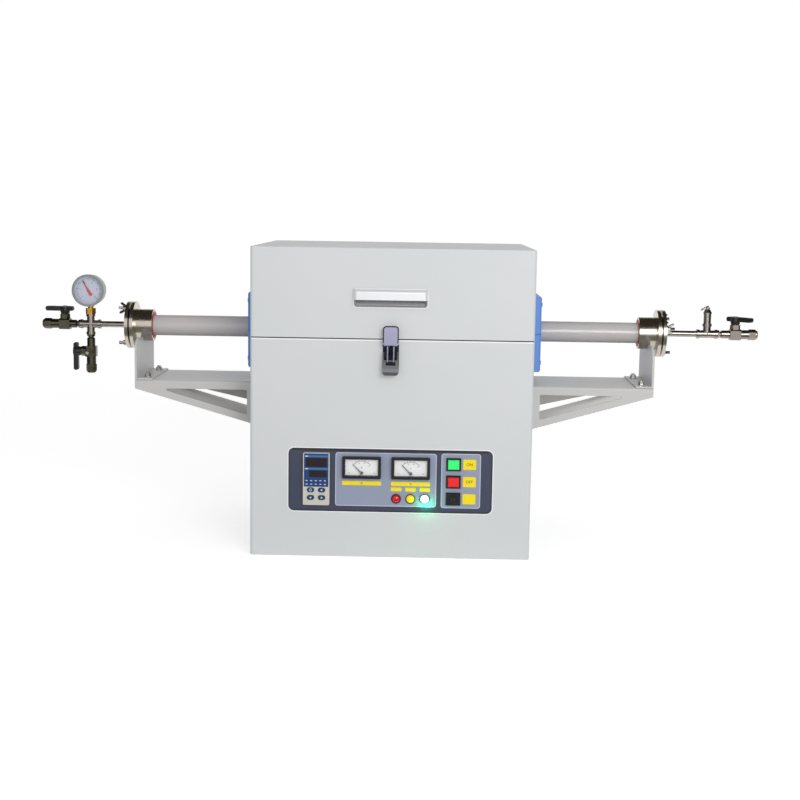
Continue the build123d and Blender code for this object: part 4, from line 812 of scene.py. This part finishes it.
# Painted shade: the white dial is coloured a darker lavender grey.
dial = disc("gauge_dial", 27.6, (dial_face, dial_face + 0.25), gauge_x, gauge_z, 64)
ease_front(dial, 0.1, 1)
fix(dial, finish("dial_painted_shade", tint(202, 204, 224), 0.6), "cabinet")
for name, radius, length, width, steps in (("gauge_fine_scale", 21.4, 2.2, 0.3, 54),
                                           ("gauge_bold_scale", 20.4, 3.4, 0.7, 10)):
    marks = scale_marks(name, gauge_x, gauge_z, dial_face - 0.03, radius, length, width, gauge_sweep, steps)
    fix(marks, scale_black, "cabinet")
for step in range(6):
    angle = radians(-135 + 54 * step)
    words(f"gauge_number_{step}", str(step * 2), 4.2, gauge_x + figure_radius * sin(angle), dial_face - 0.05,
          gauge_z + figure_radius * cos(angle), scale_black)
tip = slab("pointer_tip", about(gauge_x, 1.0), (-18.95, -17.45), (gauge_z + 13.5, gauge_z + 20.7))
ease_front(tip, 0.2, 1)
hub = Vector((MM * gauge_x, 0, MM * gauge_z))
lean = Matrix.Rotation(radians(pointer_turn), 4, "Y")
tip.matrix_world = Matrix.Translation(hub) @ lean @ Matrix.Translation(-hub)
fix(tip, scale_black, "gauge_pointer")


# ---------------------------------------------------------------- studio
# White floor and air. Dark cards that only mirrors see give the bright metal its bands,
# and a small lamp under each bracket's top fills its inside.
floor_lift, air_strength, air_lift = 0.5, 0.6, 0.42
warm, sandy, cream = (1.0, 0.9, 0.8, 1.0), (1.0, 0.85, 0.65, 1.0), (1.0, 0.98, 0.9, 1.0)


def lift(tree, shader_socket, out_socket, strength):
    """Adds white where the eye, a mirror or clear glass looks at a surface."""
    path = tree.nodes.new("ShaderNodeLightPath")
    glow = tree.nodes.new("ShaderNodeEmission")
    both = tree.nodes.new("ShaderNodeAddShader")
    mirrored = tree.nodes.new("ShaderNodeMath")
    seen = tree.nodes.new("ShaderNodeMath")
    scaled = tree.nodes.new("ShaderNodeMath")
    mirrored.operation = seen.operation = "MAXIMUM"
    scaled.operation = "MULTIPLY"
    scaled.inputs[1].default_value = strength
    tree.links.new(path.outputs["Is Glossy Ray"], mirrored.inputs[0])
    tree.links.new(path.outputs["Is Transmission Ray"], mirrored.inputs[1])
    tree.links.new(path.outputs["Is Camera Ray"], seen.inputs[0])
    tree.links.new(mirrored.outputs[0], seen.inputs[1])
    tree.links.new(seen.outputs[0], scaled.inputs[0])
    tree.links.new(scaled.outputs[0], glow.inputs["Strength"])
    tree.links.new(shader_socket, both.inputs[0])
    tree.links.new(glow.outputs[0], both.inputs[1])
    tree.links.new(both.outputs[0], out_socket)


def card(name, colour, strength, turn, place, width, depth):
    """A flat card that only mirrors see, with an even tone of its own."""
    bpy.ops.mesh.primitive_plane_add(size=1.0, location=place, rotation=turn)
    piece = bpy.context.active_object
    piece.name = name
    piece.scale = (width, depth, 1.0)
    tone = light_up(finish(name + "_tone", (0, 0, 0, 1), 1.0), colour, strength)
    tone.node_tree.nodes["Principled BSDF"].inputs["Specular IOR Level"].default_value = 0.0
    piece.data.materials.append(tone)
    piece.visible_camera = False
    piece.visible_diffuse = False
    piece.visible_transmission = False
    piece.visible_shadow = False


bpy.ops.mesh.primitive_plane_add(size=40.0, location=(0.0, 0.0, 0.0))
floor = bpy.context.active_object
floor.name = "studio_floor"
floor_white = finish("floor_white", (0.8, 0.8, 0.8, 1.0), 0.9)
floor_tree = floor_white.node_tree
lift(floor_tree, floor_tree.nodes["Principled BSDF"].outputs[0],
     floor_tree.nodes["Material Output"].inputs[0], floor_lift)
floor.data.materials.append(floor_white)
card("ceiling_card", sandy, 0.04, (0, 0, 0), (0.0, 0.0, 2.3), 6.0, 5.6)
card("left_card", warm, 0.05, (0, pi / 2, 0), (-2.4, 0.0, 1.2), 2.4, 5.0)
card("right_card", warm, 0.05, (0, pi / 2, 0), (2.4, 0.0, 1.2), 2.4, 5.0)
card("ground_card", cream, 0.2, (0, 0, 0), (0.0, -1.9, 0.004), 6.0, 3.2)

world = bpy.data.worlds.new("studio_air")
world.use_nodes = True
air = world.node_tree
air.nodes["Background"].inputs["Color"].default_value = (1, 1, 1, 1)
air.nodes["Background"].inputs["Strength"].default_value = air_strength
lift(air, air.nodes["Background"].outputs[0], air.nodes["World Output"].inputs[0], air_lift)
bpy.context.scene.world = world
bpy.context.scene.view_settings.view_transform = "Standard"


def soft_box(name, place, size, power, hidden):
    """A rectangular lamp."""
    box = add_lamp(name, "AREA", power, place, hidden)
    box.data.shape = "RECTANGLE"
    box.data.size, box.data.size_y = size


def towards_furnace(place):
    """A station that looks at the lower part of the furnace."""
    look = Vector((0, 0, 0.3)) - Vector(place)
    return Matrix.Translation(place) @ look.to_track_quat("-Z", "Y").to_matrix().to_4x4()


soft_box("left_fill", Matrix.Translation((-0.37, 0.0, 0.298)), (0.2, 0.08), 0.03, hidden=True)
soft_box("right_fill", Matrix.Translation((0.37, 0.0, 0.298)), (0.2, 0.08), 0.06, hidden=True)
soft_box("key_light", towards_furnace((1.2, -3.2, 1.5)), (1.4, 0.8), 30, hidden=False)
soft_box("front_light", towards_furnace((0.6, -3.4, 0.8)), (1.2, 0.5), 13, hidden=False)

camera_data = bpy.data.cameras.new("camera")
camera_data.lens = 63.55
camera_data.sensor_width = 36.0
camera_data.dof.use_dof = False
camera = bpy.data.objects.new("camera", camera_data)
bpy.context.scene.collection.objects.link(camera)
yaw, down, roll = 0.0197, 0.1366, 0.0149
aim = Matrix.Rotation(yaw, 4, "Z") @ Matrix.Rotation(pi / 2 - down, 4, "X") @ Matrix.Rotation(roll, 4, "Z")
camera.matrix_world = Matrix.Translation((0.0652, -2.7284, 0.6363)) @ aim
bpy.context.scene.camera = camera
